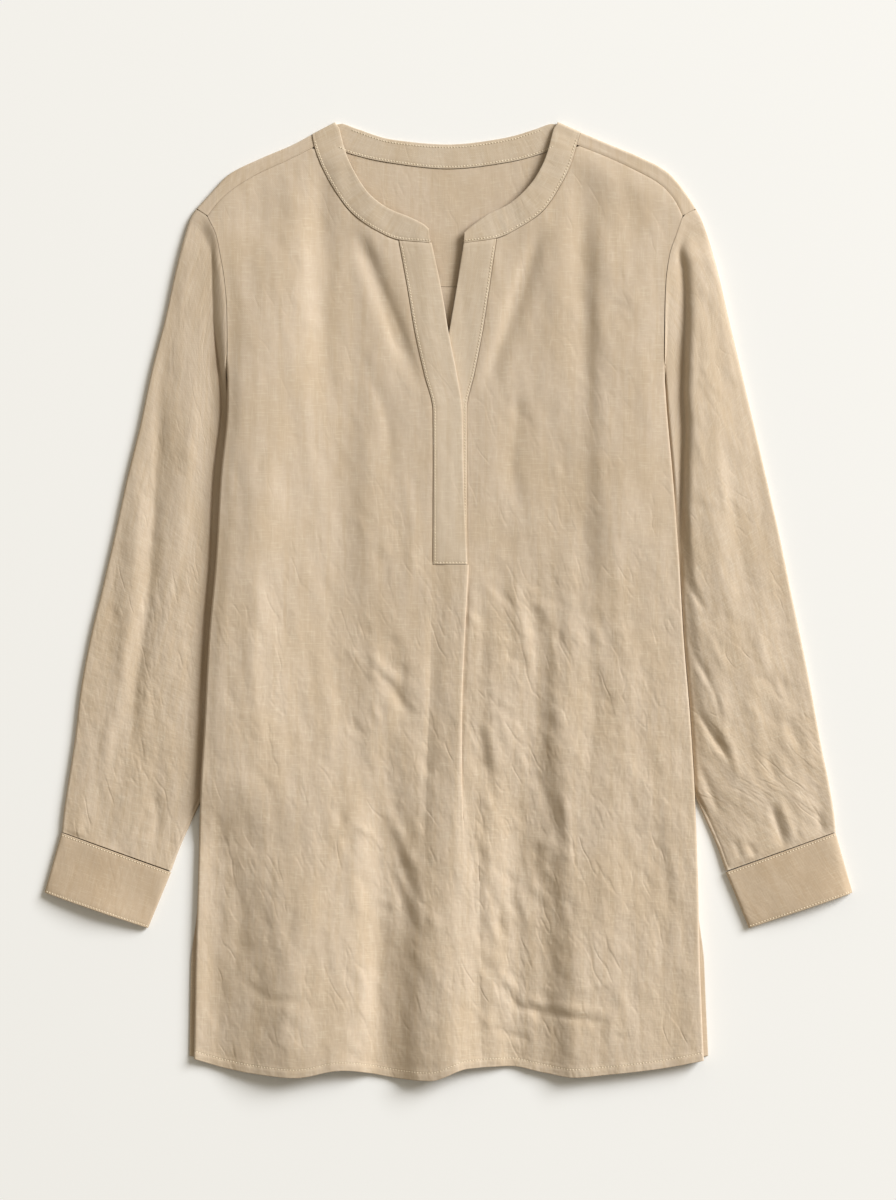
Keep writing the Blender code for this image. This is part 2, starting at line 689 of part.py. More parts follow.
def make_cuff(side, material):
    """A cuff: a faced band, flattened as the sleeve is."""
    out = -1 if side == "left" else 1
    grid = []
    for down in (0.0, 0.5, 1.0):
        outer = Vector(CUFF_OUTER_TOP).lerp(Vector(CUFF_OUTER_END), down)
        inner = Vector(CUFF_INNER_TOP).lerp(Vector(CUFF_INNER_END), down)
        inward = (inner - outer).normalized()
        if down == 0.0:
            along = (Vector(CUFF_OUTER_END) - Vector(CUFF_OUTER_TOP)).normalized() * 2 * SEAM
            outer, inner = outer + along, inner + along
        top = FACED_LYING + 2 * CUFF_RADIUS
        outer_turn = outer + inward * CUFF_RADIUS
        inner_turn = inner - inward * CUFF_RADIUS
        ring = [(outer, FACED_LYING + CUFF_RADIUS), (outer_turn, top)]
        ring += [(outer.lerp(inner, bulge.across), top + bulge.rise) for bulge in CUFF_BULGE]
        ring += [(inner_turn, top), (inner, FACED_LYING + CUFF_RADIUS), (inner_turn, FACED_LYING)]
        ring += [(outer.lerp(inner, 0.5), FACED_LYING), (outer_turn, FACED_LYING)]
        grid.append([(out * spot.x, spot.y, height) for spot, height in ring])
    return sheet("cuff_" + side, grid, FACED, material, closed=True)


def main():
    """Build every sewn piece."""
    for leftover in list(bpy.data.objects):
        bpy.data.objects.remove(leftover, do_unlink=True)
    linen = finish("linen_plain_weave", LINEN)
    faced = finish("linen_faced", FACED_LINEN)
    make_back(linen)
    make_front(linen)
    make_yoke(linen)
    make_neckband(faced)
    make_placket("placket_upper", "upper_left", "upper_right", LAP_RISE, BAND_LEFT, faced)
    make_placket("placket_lower", "lower_left", "lower_right", 0.0, BAND_RIGHT, faced)
    for side in ("left", "right"):
        make_sleeve(side, linen)
        make_cuff(side, faced)


main()
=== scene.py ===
"""Looks of a long-sleeved linen tunic top that lies face up on a pale floor, seen from straight above.

The frame is the part's own: +X to the viewer's right, +Y towards the neck, +Z up. Sizes are written in
millimetres and turned to metres when a mesh is made. Each sewn piece is a thin sheet on the form of its
solid, with the folds, creases and seams that the solids leave out.
"""

import logging
from collections.abc import Sequence
from dataclasses import dataclass, field
from enum import Enum
from typing import NamedTuple

import bpy
import numpy as np
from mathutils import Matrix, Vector
from mathutils.bvhtree import BVHTree

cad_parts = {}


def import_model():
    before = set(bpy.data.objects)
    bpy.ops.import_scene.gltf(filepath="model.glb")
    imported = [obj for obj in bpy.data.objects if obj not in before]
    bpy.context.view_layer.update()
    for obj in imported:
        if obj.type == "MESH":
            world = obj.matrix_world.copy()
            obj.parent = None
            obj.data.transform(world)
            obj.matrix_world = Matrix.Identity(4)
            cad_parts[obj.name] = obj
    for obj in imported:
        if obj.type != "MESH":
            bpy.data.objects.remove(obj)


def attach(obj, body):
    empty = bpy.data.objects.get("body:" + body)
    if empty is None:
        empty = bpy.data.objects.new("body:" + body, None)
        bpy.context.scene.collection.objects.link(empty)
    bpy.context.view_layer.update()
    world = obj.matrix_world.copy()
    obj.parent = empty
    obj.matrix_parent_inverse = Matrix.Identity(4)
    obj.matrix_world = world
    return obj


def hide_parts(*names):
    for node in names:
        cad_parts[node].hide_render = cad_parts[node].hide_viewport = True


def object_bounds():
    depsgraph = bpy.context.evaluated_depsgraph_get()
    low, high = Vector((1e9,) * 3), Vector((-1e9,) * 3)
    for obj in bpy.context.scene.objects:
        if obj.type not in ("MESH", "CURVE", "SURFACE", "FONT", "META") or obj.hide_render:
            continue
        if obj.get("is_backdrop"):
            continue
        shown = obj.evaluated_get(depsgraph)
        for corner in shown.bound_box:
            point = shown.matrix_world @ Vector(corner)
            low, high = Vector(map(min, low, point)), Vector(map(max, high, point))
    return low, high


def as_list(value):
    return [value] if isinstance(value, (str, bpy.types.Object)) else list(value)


LOG = logging.getLogger("tunic")
MM = 0.001

Grid = np.ndarray
Blender = bpy.types.Object

# Walls and gaps of the solids, which the sheets keep to
CLOTH = 1.2
FACED = 1.6
SEAM = 0.3
LYING = CLOTH / 2
FACED_LYING = FACED / 2
FOLD_RADIUS = 1.4
FOLDED_TOP = LYING + 2 * FOLD_RADIUS
FRONT_TOP = 5.4
LAP_RISE = 2.0
LEFT_SWELL = 8.6
RIGHT_SWELL = 1.6
SLEEVE_SHOULDER = 4.8
TUCKED_TOP = LYING + CLOTH + SEAM
CREASE_DEPTH = 1.2
# How far the front's side edge rolls down, and how far a row of stitches pulls the cloth in beside it
EDGE_ROLL = 1.3
STITCH_PULL = 0.9
# How far in from the edge the neckband is stitched, and the plackets and the cuffs
BAND_STITCH = 1.8
STRIP_STITCH = 1.6
# How far the cut of the back and the yoke is moved in the weave, so that it differs from the front's
BACK_CUT = 230

# Places up and down the garment, and how far the back shows beside the front at the vents
SLEEVE_TOP_Y = 333.0
YOKE_TIP_Y = 327.0
UNDERARM_Y = 194.0
YOKE_SEAM_Y = 267.0
PLACKET_END_Y = 30.6
VENT_TOP_Y = -285.0
FOOT_Y = -395.0
VENT_SHOW = 4.0


class Side(NamedTuple):
    """The left and right edges of a panel at a height."""

    y: float
    left: float
    right: float


class Hem(NamedTuple):
    """How low a hem hangs at a place across the garment."""

    x: float
    y: float


class Shoulder(NamedTuple):
    """The fold over a shoulder and the seam in front of it, from the neck out to the sleeve."""

    out: float
    fold_x: float
    fold_y: float
    seam_x: float
    seam_y: float


class Band(NamedTuple):
    """The neckband's sewn edge and free edge at a place round the neck."""

    round: float
    seam_x: float
    seam_y: float
    edge_x: float
    edge_y: float


class Placket(NamedTuple):
    """The edges of the two placket strips at a height."""

    y: float
    upper_left: float
    upper_right: float
    lower_left: float
    lower_right: float


class Pleat(NamedTuple):
    """The pleat's roots and folded edge at a height, and how much of the fold goes under."""

    y: float
    left_x: float
    edge_x: float
    right_x: float
    folded: float


class Section(NamedTuple):
    """A place on a section across the pleat, folded flat and let out to a soft ridge."""

    place: float
    across_folded: float
    up_folded: float
    across_open: float
    up_open: float


class Fold(NamedTuple):
    """A soft fold of the front: its line, its half width on each side, its rise and its faded ends."""

    top_x: float
    top_y: float
    low_x: float
    low_y: float
    left_width: float
    right_width: float
    rise: float
    top_fade: float
    low_fade: float


class Level(NamedTuple):
    """A height above the floor at a place down the garment."""

    y: float
    rise: float


class Ring(NamedTuple):
    """The outer fold and the inner fold of a ring round a sleeve."""

    number: float
    left_x: float
    right_x: float
    outer_y: float
    inner_left_x: float
    inner_right_x: float
    inner_y: float
    inner_top: float


class Groove(NamedTuple):
    """How far out from the body each sleeve's groove is at a height, and how wide its floor is."""

    y: float
    left: float
    left_floor: float
    right: float
    right_floor: float


SIDE_EDGE = [
    Side(*row)
    for row in (
        (327, -205, 199), (311, -197.5, 193.5), (295, -194, 188), (271, -190, 184.5), (247, -188, 183.5),
        (206, -187.5, 183), (170, -187.5, 185), (102, -193.5, 191), (34, -197.5, 196), (-34, -203.5, 200),
        (-102, -207, 205.5), (-170, -211, 209.5), (-238, -213, 212), (-306, -215, 213.5),
        (-392, -216.5, 217),
    )
]

BACK_ARMHOLE = [
    Side(*row)
    for row in (
        (333, -214, 210), (311, -206, 202), (295, -201, 197), (271, -195.5, 191), (247, -191, 187),
        (206, -188, 184), (194, -187.5, 183.5),
    )
]

FRONT_HEM = [
    Hem(*row)
    for row in (
        (-219, -389), (-190, -397.5), (-160, -402.5), (-130, -405), (-91, -399), (-39, -406.5),
        (-16, -407.5), (16, -397.5), (52, -396), (82, -401.5), (106, -405), (131, -403), (180, -397.5),
        (218, -390.5),
    )
]
BACK_HEM = [Hem(-221, -387.5), Hem(-185, -394), Hem(185, -394), Hem(221, -387.5)]

SHOULDER_LEFT = [
    Shoulder(*row)
    for row in (
        (0.0, -116, 396, -114, 386), (0.25, -133, 387, -138, 374), (0.5, -160, 375.5, -162, 363),
        (0.75, -186, 362.5, -184, 349.5), (0.9, -203, 345, -196, 338.5), (1.0, -214, 333, -205, 327),
    )
]
SHOULDER_RIGHT = [
    Shoulder(*row)
    for row in (
        (0.0, 112, 398, 109, 387.5), (0.25, 136, 388, 132, 378.5), (0.5, 162, 377, 157, 367),
        (0.75, 185, 365, 180, 354), (0.9, 201, 347, 192, 341), (1.0, 210, 333, 199, 327),
    )
]

BAND_LEFT = [
    Band(*row)
    for row in (
        (0.0, -16, 304, -17, 317), (0.15, -42, 306.5, -33, 325.5), (0.3, -62, 315, -50, 332.5),
        (0.45, -82.5, 330, -66.5, 344.5), (0.6, -98.5, 352, -79, 362.5), (0.75, -108.5, 371, -87, 379.5),
        (0.9, -114, 386, -91.5, 395), (1.0, -116, 396, -94, 407.5),
    )
]
BAND_RIGHT = [
    Band(*row)
    for row in (
        (0.0, 13, 304, 13.5, 313.5), (0.15, 40.5, 308, 33, 327.5), (0.3, 60, 317, 50, 336),
        (0.45, 79.5, 330.5, 63.5, 347), (0.6, 94.5, 352, 74.5, 360.5), (0.75, 103.5, 370, 82.5, 376.5),
        (0.9, 109, 387.5, 87.5, 393.5), (1.0, 112, 398, 90.5, 407.5),
    )
]
BAND_BACK = [
    Band(*row)
    for row in (
        (0.0, -116, 396, -94, 407.5), (0.12, -89, 382, -77, 401), (0.3, -52, 373, -47, 392),
        (0.5, 0, 367.5, 0, 388), (0.7, 50, 373, 45, 393), (0.88, 85, 382.5, 74, 401),
        (1.0, 112, 398, 90.5, 407.5),
    )
]

PLACKET = [
    Placket(*row)
    for row in (
        (306, -42, -14.5, 13, 40.5), (265, -34.5, -6, 6.5, 34.5), (229, -28.5, 0, 0.5, 29),
        (193, -20.5, 7, -5, 22), (161, -13, 11.5, -10.5, 15.3), (119, -12.7, 12.3, -11, 15.5),
        (30.6, -13, 15.5, -11.5, 16),
    )
]

PLEAT = [
    Pleat(*row)
    for row in (
        (30.6, -13.3, 16.6, 16.3, 1.0), (-30, -14.5, 13.5, 17, 1.0), (-90, -16, 11, 18, 0.8),
        (-170, -18, 9, 22, 0.35), (-240, -20, 8, 26, 0.0), (-400, -22, 7, 28, 0.0),
    )
]
PLEAT_SECTION = [
    Section(*row)
    for row in (
        (0, -22, 1.9, -24, 0.9), (1, -12, 2.3, -16, 2.0), (2, -0.6, 2.3, -7, 2.8), (3, 0, 1.8, -1, 3.0),
        (4, -0.8, 1.2, 4, 2.6), (5, -13, 1.2, 9, 1.8), (6, -14, 0.6, 13, 1.0), (7, -13, 0, 17, 0.4),
    )
]

FOLDS = [
    Fold(*row)
    for row in (
        (-120, -60, -132, -460, 40, 64, 11.0, 300, 85), (-13, -100, -20, -460, 18, 44, 8.4, 220, 80),
        (98, 10, 112, -460, 15.5, 165, 6.6, 250, 80), (-60, -120, -64, -460, 12, 10, -3.4, 120, 20),
        (-46, -130, -46, -460, 9, 12, 1.2, 90, 60), (62, -110, 54, -460, 18, 14, -2.6, 120, 20),
        (34, -150, 44, -420, 10, 14, 2.0, 60, 80), (-192, -90, -198, -460, 14, 17, -3.2, 140, 20),
        (168, -150, 186, -460, 34, 14, -1.3, 120, 20), (-108, 385, -104, 130, 11, 11, -2.2, 40, 120),
        (-128, 372, -124, 60, 15, 12, 1.4, 60, 140), (114, 385, 122, 130, 12, 12, -2.0, 40, 110),
        (94, 350, 100, 60, 12, 14, 1.4, 60, 120), (-148, 340, -156, 20, 20, 20, 1.8, 60, 120),
        (128, 340, 134, -60, 10, 42, 3.4, 60, 160), (-78, 318, -24, 175, 9, 7, -3.4, 30, 50),
        (82, 326, 27, 165, 7, 9, -3.0, 40, 50), (-42, -80, -48, -450, 17, 15, -4.4, 130, 30),
        (-60, 240, -74, -60, 12, 16, 1.6, 90, 120), (-166, 150, -172, -200, 14, 20, 1.8, 90, 120),
        (136, 120, 148, -220, 18, 14, 0.9, 90, 120), (40, 10, 36, -220, 8, 12, 1.6, 60, 90),
        (-52, -20, -30, -130, 9, 9, -1.8, 40, 50), (96, 40, 92, -200, 9, 14, 2.4, 80, 100),
        (70, 60, 78, -200, 10, 10, -1.6, 80, 90),
    )
]

BACK_LIFT = [Level(206, 0), Level(190, 3.0), Level(-178, 3.0), Level(-206, 0)]
SIDE_SWELL = [Level(*row) for row in ((325, 0), (280, 0.45), (220, 0.85), (170, 1), (-150, 1), (-206, 0))]
# The front's side edge comes down on to the back's, so the two meet in the side seam
FRONT_SIDE = [Level(190, 4.7), Level(-178, 4.7), Level(-210, 1.9), Level(-400, 1.8)]

RINGS = [
    Ring(*row)
    for row in (
        (0, -214, 210, 333, -187.8, 184.2, 194, 5.3), (0.4, -219, 214.5, 325, -187.6, 184.2, 188, 3.2),
        (1, -225, 221, 307, -186.4, 183.4, 176, 2.3), (2, -232, 229, 279, -186, 184.5, 153, 2.1),
        (3, -240, 237.5, 242, -177, 177, 122, 2.1), (4, -252, 248.5, 196, -171.5, 171.5, 89, 2.1),
        (5, -262, 259.5, 149, -169, 169.5, 55, 2.1), (6, -273.5, 270.5, 102, -171.5, 171.5, 21, 2.1),
        (7, -283.5, 281, 56, -174.5, 174.5, -13, 2.1), (8, -294.5, 290.5, 9, -179, 180, -47, 2.1),
        (9, -304.5, 299.5, -33, -185, 185.5, -81, 2.1), (10, -312.5, 308, -76, -191.5, 193.5, -115, 2.1),
        (11, -317.5, 315.5, -118, -201, 202.5, -149, 2.1),
        (12, -323.5, 323.5, -157, -216, 217, -181, 2.1), (13, -327, 327.5, -181, -229, 229.5, -210, 3.0),
        (14, -328.5, 329, -197, -236.5, 236.5, -230, 3.8),
    )
]
SLEEVE_TOP = [Level(340, 4.6), Level(290, 6.2), Level(200, 8.7), Level(-60, 7.9), Level(-190, 5.4)]

GROOVES = [
    Groove(*row)
    for row in (
        (312, 3, 0, 1.5, 0), (300, 5, 0, 5, 0), (281, 8.4, 0, 12.5, 0), (263, 10.5, 0, 15.4, 0),
        (241, 11, 0, 16.6, 0), (221, 9.6, 0.4, 16.2, 0.2), (198, 6.4, 1.2, 15.2, 0.4),
        (176, 2.6, 3, 13, 0.6), (155, 0, 5, 12.2, 0.8), (111, 0, 6, 7, 1), (70, 0, 5.6, 3, 1),
        (46, 0, 5, 1.2, 0.6), (-18, 0, 4, 0, 0.2), (-68, 0, 3.2, 0, 0), (-119, 0, 2.4, 0, 0),
        (-181, 0, 1.2, 0, 0),
    )
]

CUFF_OUTER_TOP = (328.6, -197.3)
CUFF_INNER_TOP = (236.6, -230.6)
CUFF_OUTER_END = (343.0, -248.6)
CUFF_INNER_END = (256.3, -278.4)


class Hand(Enum):
    """The viewer's left or right half of the garment."""

    LEFT = "left"
    RIGHT = "right"

    @property
    def out(self) -> int:
        """Give the sign of X on that side."""
        return -1 if self is Hand.LEFT else 1


def follow(table: Sequence[NamedTuple], at: Grid, column: str) -> Grid:
    """Read a column of a table on a smooth curve that never overshoots.

    Args:
        table: Rows whose first column is the place.
        at: The places to read.
        column: The name of the column.

    Returns:
        The values there.
    """
    rows = sorted(table)
    places = np.array([row[0] for row in rows], float)
    values = np.array([getattr(row, column) for row in rows], float)
    slopes = np.diff(values) / np.diff(places)
    before, after = slopes[:-1], slopes[1:]
    same_way = before * after > 0
    both = np.where(same_way, before + after, 1.0)
    inner = np.where(same_way, 2 * before * after / both, 0.0)
    bends = np.concatenate([slopes[:1], inner, slopes[-1:]])
    at = np.clip(at, places[0], places[-1])
    i = np.clip(np.searchsorted(places, at, "right") - 1, 0, len(slopes) - 1)
    step = places[i + 1] - places[i]
    t = (at - places[i]) / step
    rise = (values[i + 1] - values[i]) * t * t * (3 - 2 * t)
    return values[i] + bends[i] * step * t * (1 - t) ** 2 + rise - bends[i + 1] * step * t * t * (1 - t)


def smooth(start: float, end: float, value: Grid) -> Grid:
    """Go from 0 at start to 1 at end, without a corner."""
    t = np.clip((value - start) / (end - start), 0.0, 1.0)
    return t * t * (3 - 2 * t)


def mix(first: Grid, last: Grid, share: Grid) -> Grid:
    """Go in a straight line from first to last."""
    return first + (last - first) * share


def hump(at: Grid, middle: float, width: Grid) -> Grid:
    """Rise softly to 1 at the middle and fall to a third at the width on both sides."""
    return np.exp(-(((at - middle) / width) ** 2))


def ripple(x: Grid, y: Grid, seed: int) -> Grid:
    """Make smooth random relief with features about 1 across.

    Args:
        x: Places across, in feature sizes.
        y: Places along, in feature sizes.
        seed: Which relief.

    Returns:
        Heights from about -1 to 1.
    """
    lattice = np.random.default_rng(seed).uniform(0, 2 * np.pi, (61, 67))
    column, row = np.floor(x).astype(int), np.floor(y).astype(int)
    across, along = x - column, y - row

    def corner(right: int, up: int) -> Grid:
        angle = lattice[(column + right) % 61, (row + up) % 67]
        return np.cos(angle) * (across - right) + np.sin(angle) * (along - up)

    u = across**3 * (across * (across * 6 - 15) + 10)
    v = along**3 * (along * (along * 6 - 15) + 10)
    low = mix(corner(0, 0), corner(1, 0), u)
    high = mix(corner(0, 1), corner(1, 1), u)
    return 1.5 * mix(low, high, v)


def insets(length: float, first: Sequence[float], last: Sequence[float], spacing: float) -> Grid:
    """List shares of a length with support rows at both ends.

    Args:
        length: The whole length.
        first: Distances from the start where rows are wanted.
        last: Distances from the end where rows are wanted.
        spacing: The largest distance between the others.

    Returns:
        Shares from 0 to 1, in order.
    """
    starts = sorted([0.0, *first])
    ends = sorted([length - d for d in [0.0, *last]])
    parts = max(1, int(np.ceil((ends[0] - starts[-1]) / spacing)))
    middle = np.linspace(starts[-1], ends[0], parts + 1)[1:-1]
    return np.array([*starts, *middle, *ends]) / length


@dataclass(frozen=True)
class Crease:
    """One crease, which is a narrow ridge or, with a negative rise, a narrow valley.

    Attributes:
        points: The places that it runs through.
        width: Its half width.
        rise: Its height at its middle.
        lean: How much steeper its right side is than its left one, from -1 to 1.
    """

    points: tuple[tuple[float, float], ...]
    width: float
    rise: float
    lean: float = 0.0

    def lift(self, x: Grid, y: Grid) -> Grid:
        """Tell how far the crease lifts the cloth at some places."""
        path = np.array(self.points, float)
        reach = 3 * self.width
        low, high = path.min(0) - reach, path.max(0) + reach
        near = (x > low[0]) & (x < high[0]) & (y > low[1]) & (y < high[1])
        lift = np.zeros_like(x)
        if not near.any():
            return lift
        px, py = x[near], y[near]
        nearest = np.full(px.shape, 1e9)
        signed = np.zeros_like(px)
        place = np.zeros_like(px)
        lengths = np.hypot(*np.diff(path, axis=0).T)
        walked = 0.0
        for start, end, length in zip(path[:-1], path[1:], lengths):
            along = (end - start) / length
            t = np.clip((px - start[0]) * along[0] + (py - start[1]) * along[1], 0, length)
            dx, dy = px - start[0] - along[0] * t, py - start[1] - along[1] * t
            far = np.hypot(dx, dy)
            closer = far < nearest
            nearest = np.where(closer, far, nearest)
            signed = np.where(closer, np.sign(dx * along[1] - dy * along[0]), signed)
            place = np.where(closer, (walked + t) / lengths.sum(), place)
            walked += length
        width = self.width * (1 + self.lean * signed)
        ends = smooth(0, 0.35, place) * smooth(1, 0.65, place)
        lift[near] = self.rise * ends * np.exp(-((nearest / width) ** 1.6))
        return lift


CREASES = [
    Crease(*row)
    for row in (
        (((-13.5, 22), (-15, -60), (-19, -150), (-24, -250)), 4.0, -1.0, -0.2),
        (((-60, -56), (-44, -80), (-27, -104)), 4.5, -1.4, 0.3),
        (((-66, -40), (-54, -62), (-40, -70)), 4.0, 0.9),
        (((-62, -178), (-39, -224), (-21, -264)), 4.2, -1.6, 0.3),
        (((-55, -172), (-36, -212), (-22, -240)), 3.6, 1.0, -0.3),
        (((-54, -205), (-46, -236), (-19, -296)), 4.2, -1.3, 0.3),
        (((-27, -127), (-14, -150)), 3.6, -0.9),
        (((22, -92), (30, -126), (39, -167), (43, -195)), 4.2, -1.3, 0.3),
        (((28, -88), (37, -126), (46, -160)), 4.0, 1.0),
        (((32, -236), (46, -282), (56, -296)), 4.2, -1.6, 0.2), (((59, -241), (68, -282)), 4.0, 1.2),
        (((79, -149), (88, -184), (99, -213)), 4.4, -1.2),
        (((22, -302), (39, -322), (59, -346), (88, -352), (124, -358), (158, -364)), 3.2, -1.2, -0.3),
        (((24, -294), (44, -316), (64, -338), (98, -345), (160, -354)), 4.2, 1.0, 0.2),
        (((27.5, -359), (50, -368), (76, -376)), 3.2, -0.9), (((102, -333), (145, -322)), 3.6, 0.8),
        (((140, -280), (141.5, -306)), 3.0, 0.9), (((52, 20), (66, -30), (74, -80)), 5.0, 1.0),
        (((84, 34), (94, -4), (96, -60), (92, -110)), 5.0, -1.2),
        (((118, -30), (124, -96), (116, -160)), 5.0, -1.0), (((150, -20), (158, -110)), 6.0, 0.9),
        (((-160, 40), (-166, -60), (-158, -150)), 7.0, 0.9),
        (((-96, 60), (-100, -20), (-90, -110)), 7.0, -0.9),
        (((-186, -200), (-176, -268), (-184, -330)), 7.0, -1.1),
        (((-150, -250), (-142, -310)), 6.0, 0.8), (((176, -180), (186, -250), (180, -320)), 7.0, -1.1),
        (((-40, 120), (-30, 60), (-34, -6)), 6.0, 0.8),
        (((-70, 210), (-52, 150), (-46, 90)), 6.0, -0.9), (((62, 190), (54, 120), (60, 60)), 6.0, -0.9),
        (((24, 8), (30, -20), (28, -70)), 4.0, -1.0),
        (((-180, -320), (-150, -340), (-118, -338)), 4.0, -0.8),
        (((-84, -300), (-70, -330), (-76, -372)), 4.0, 0.9),
    )
]
SLEEVE_CREASES = [
    Crease(*row)
    for row in (
        (
            ((-233, 240), (-246, 155), (-254, 25), (-257, -17), (-266, -72), (-269, -121), (-273, -180)),
            7.0,
            -2.0,
        ),
        (((-256, 130), (-270, 10), (-278, -60), (-286, -150)), 8.0, 1.2),
        (((-216, 190), (-222, 90), (-232, 0)), 6.5, 1.1),
        (((-285, -90), (-292, -140), (-290, -178)), 6.0, 0.9),
        (((-240, -203), (-229, -212)), 2.6, -0.8),
        (((-252, -150), (-247, -185), (-251, -214)), 3.4, -0.9),
        (((196, 26), (207, 8), (219, -12)), 3.0, -1.5, -0.3),
        (((202, -28), (212, -53), (226.5, -79), (234, -106)), 3.0, -1.7, -0.3),
        (((204, -84), (223, -113), (241, -142)), 3.0, -2.1, -0.3),
        (((208, -130), (223, -165), (233, -190)), 3.0, -1.7, -0.3),
        (((216.5, -60), (231.8, -87), (236, -106)), 3.4, 1.1),
        (((214, -14), (228, -46), (240, -70)), 4.0, 1.0),
        (((222, -96), (240, -124), (250, -160)), 4.0, 1.1), (((281, -60), (290.5, -92)), 3.6, -1.1),
        (((268.5, -126), (280, -158)), 3.6, -1.2), (((285, -94), (297, -122), (301, -134)), 3.6, -1.0),
        (((262, -20), (272, -70)), 5.0, 1.0), (((272, -168), (280, -190), (287, -214)), 3.6, -1.9),
        (((280, -166), (288, -188), (295, -210)), 3.8, 1.3), (((242, -202), (250, -223)), 3.0, -1.4),
        (((253, -205), (262, -219)), 3.0, -1.1), (((313, -176), (319, -200)), 3.0, -1.2),
        (((236, 110), (246, 50), (258, -10)), 8.0, -0.8),
        (((222, 180), (232, 100), (240, 40)), 8.0, 0.8),
        (((226, 290), (238, 230), (248, 160)), 8.0, 0.9), (((-218, 300), (-226, 240)), 6.0, 0.9),
    )
]


@dataclass(frozen=True)
class Crumple:
    """Short random creases in a patch of cloth, as linen keeps them.

    Attributes:
        left: The patch's left edge.
        right: Its right edge.
        low: Its lower edge.
        high: Its upper edge.
        count: How many creases it has.
        rise: The rise of the strongest.
        lean: How far they lean from upright, in degrees, to the right at the top.
        seed: Which creases.
    """

    left: float
    right: float
    low: float
    high: float
    count: int
    rise: float
    lean: float
    seed: int

    def creases(self) -> list[Crease]:
        """Draw the creases of this patch."""
        draw = np.random.default_rng(self.seed)
        made = []
        for _ in range(self.count):
            x, y = draw.uniform(self.left, self.right), draw.uniform(self.low, self.high)
            length = draw.uniform(10, 38)
            angle = np.radians(90 - self.lean + draw.normal(0, 16))
            bend = draw.uniform(-0.16, 0.16) * length
            across, along = np.cos(angle), np.sin(angle)
            half = length / 2
            start = (x - across * half, y - along * half)
            middle = (x + along * bend, y - across * bend)
            end = (x + across * half, y + along * half)
            width = draw.uniform(2.2, 4.2)
            rise = self.rise * draw.uniform(0.35, 1.0) * draw.choice([-1, 1])
            made.append(Crease((start, middle, end), width, rise, draw.uniform(-0.4, 0.4)))
        return made


CRUMPLES = [
    Crumple(*row)
    for row in (
        (20, 104, -370, 15, 130, 0.9, -14, 3), (90, 205, -390, 0, 90, 0.62, -6, 4),
        (-84, -8, -390, -20, 70, 0.8, -20, 5), (-208, -75, -390, -60, 90, 0.55, 6, 6),
        (-185, -40, 0, 330, 60, 0.36, 3, 7), (40, 185, 0, 330, 60, 0.36, -3, 8),
    )
]
SLEEVE_CRUMPLES = [
    Crumple(*row)
    for row in (
        (200, 325, -215, 40, 70, 0.42, -26, 9), (190, 290, 40, 300, 50, 0.3, -8, 10),
        (-330, -212, -215, 60, 70, 0.4, 12, 14), (-290, -190, 60, 300, 40, 0.35, 12, 15),
    )
]


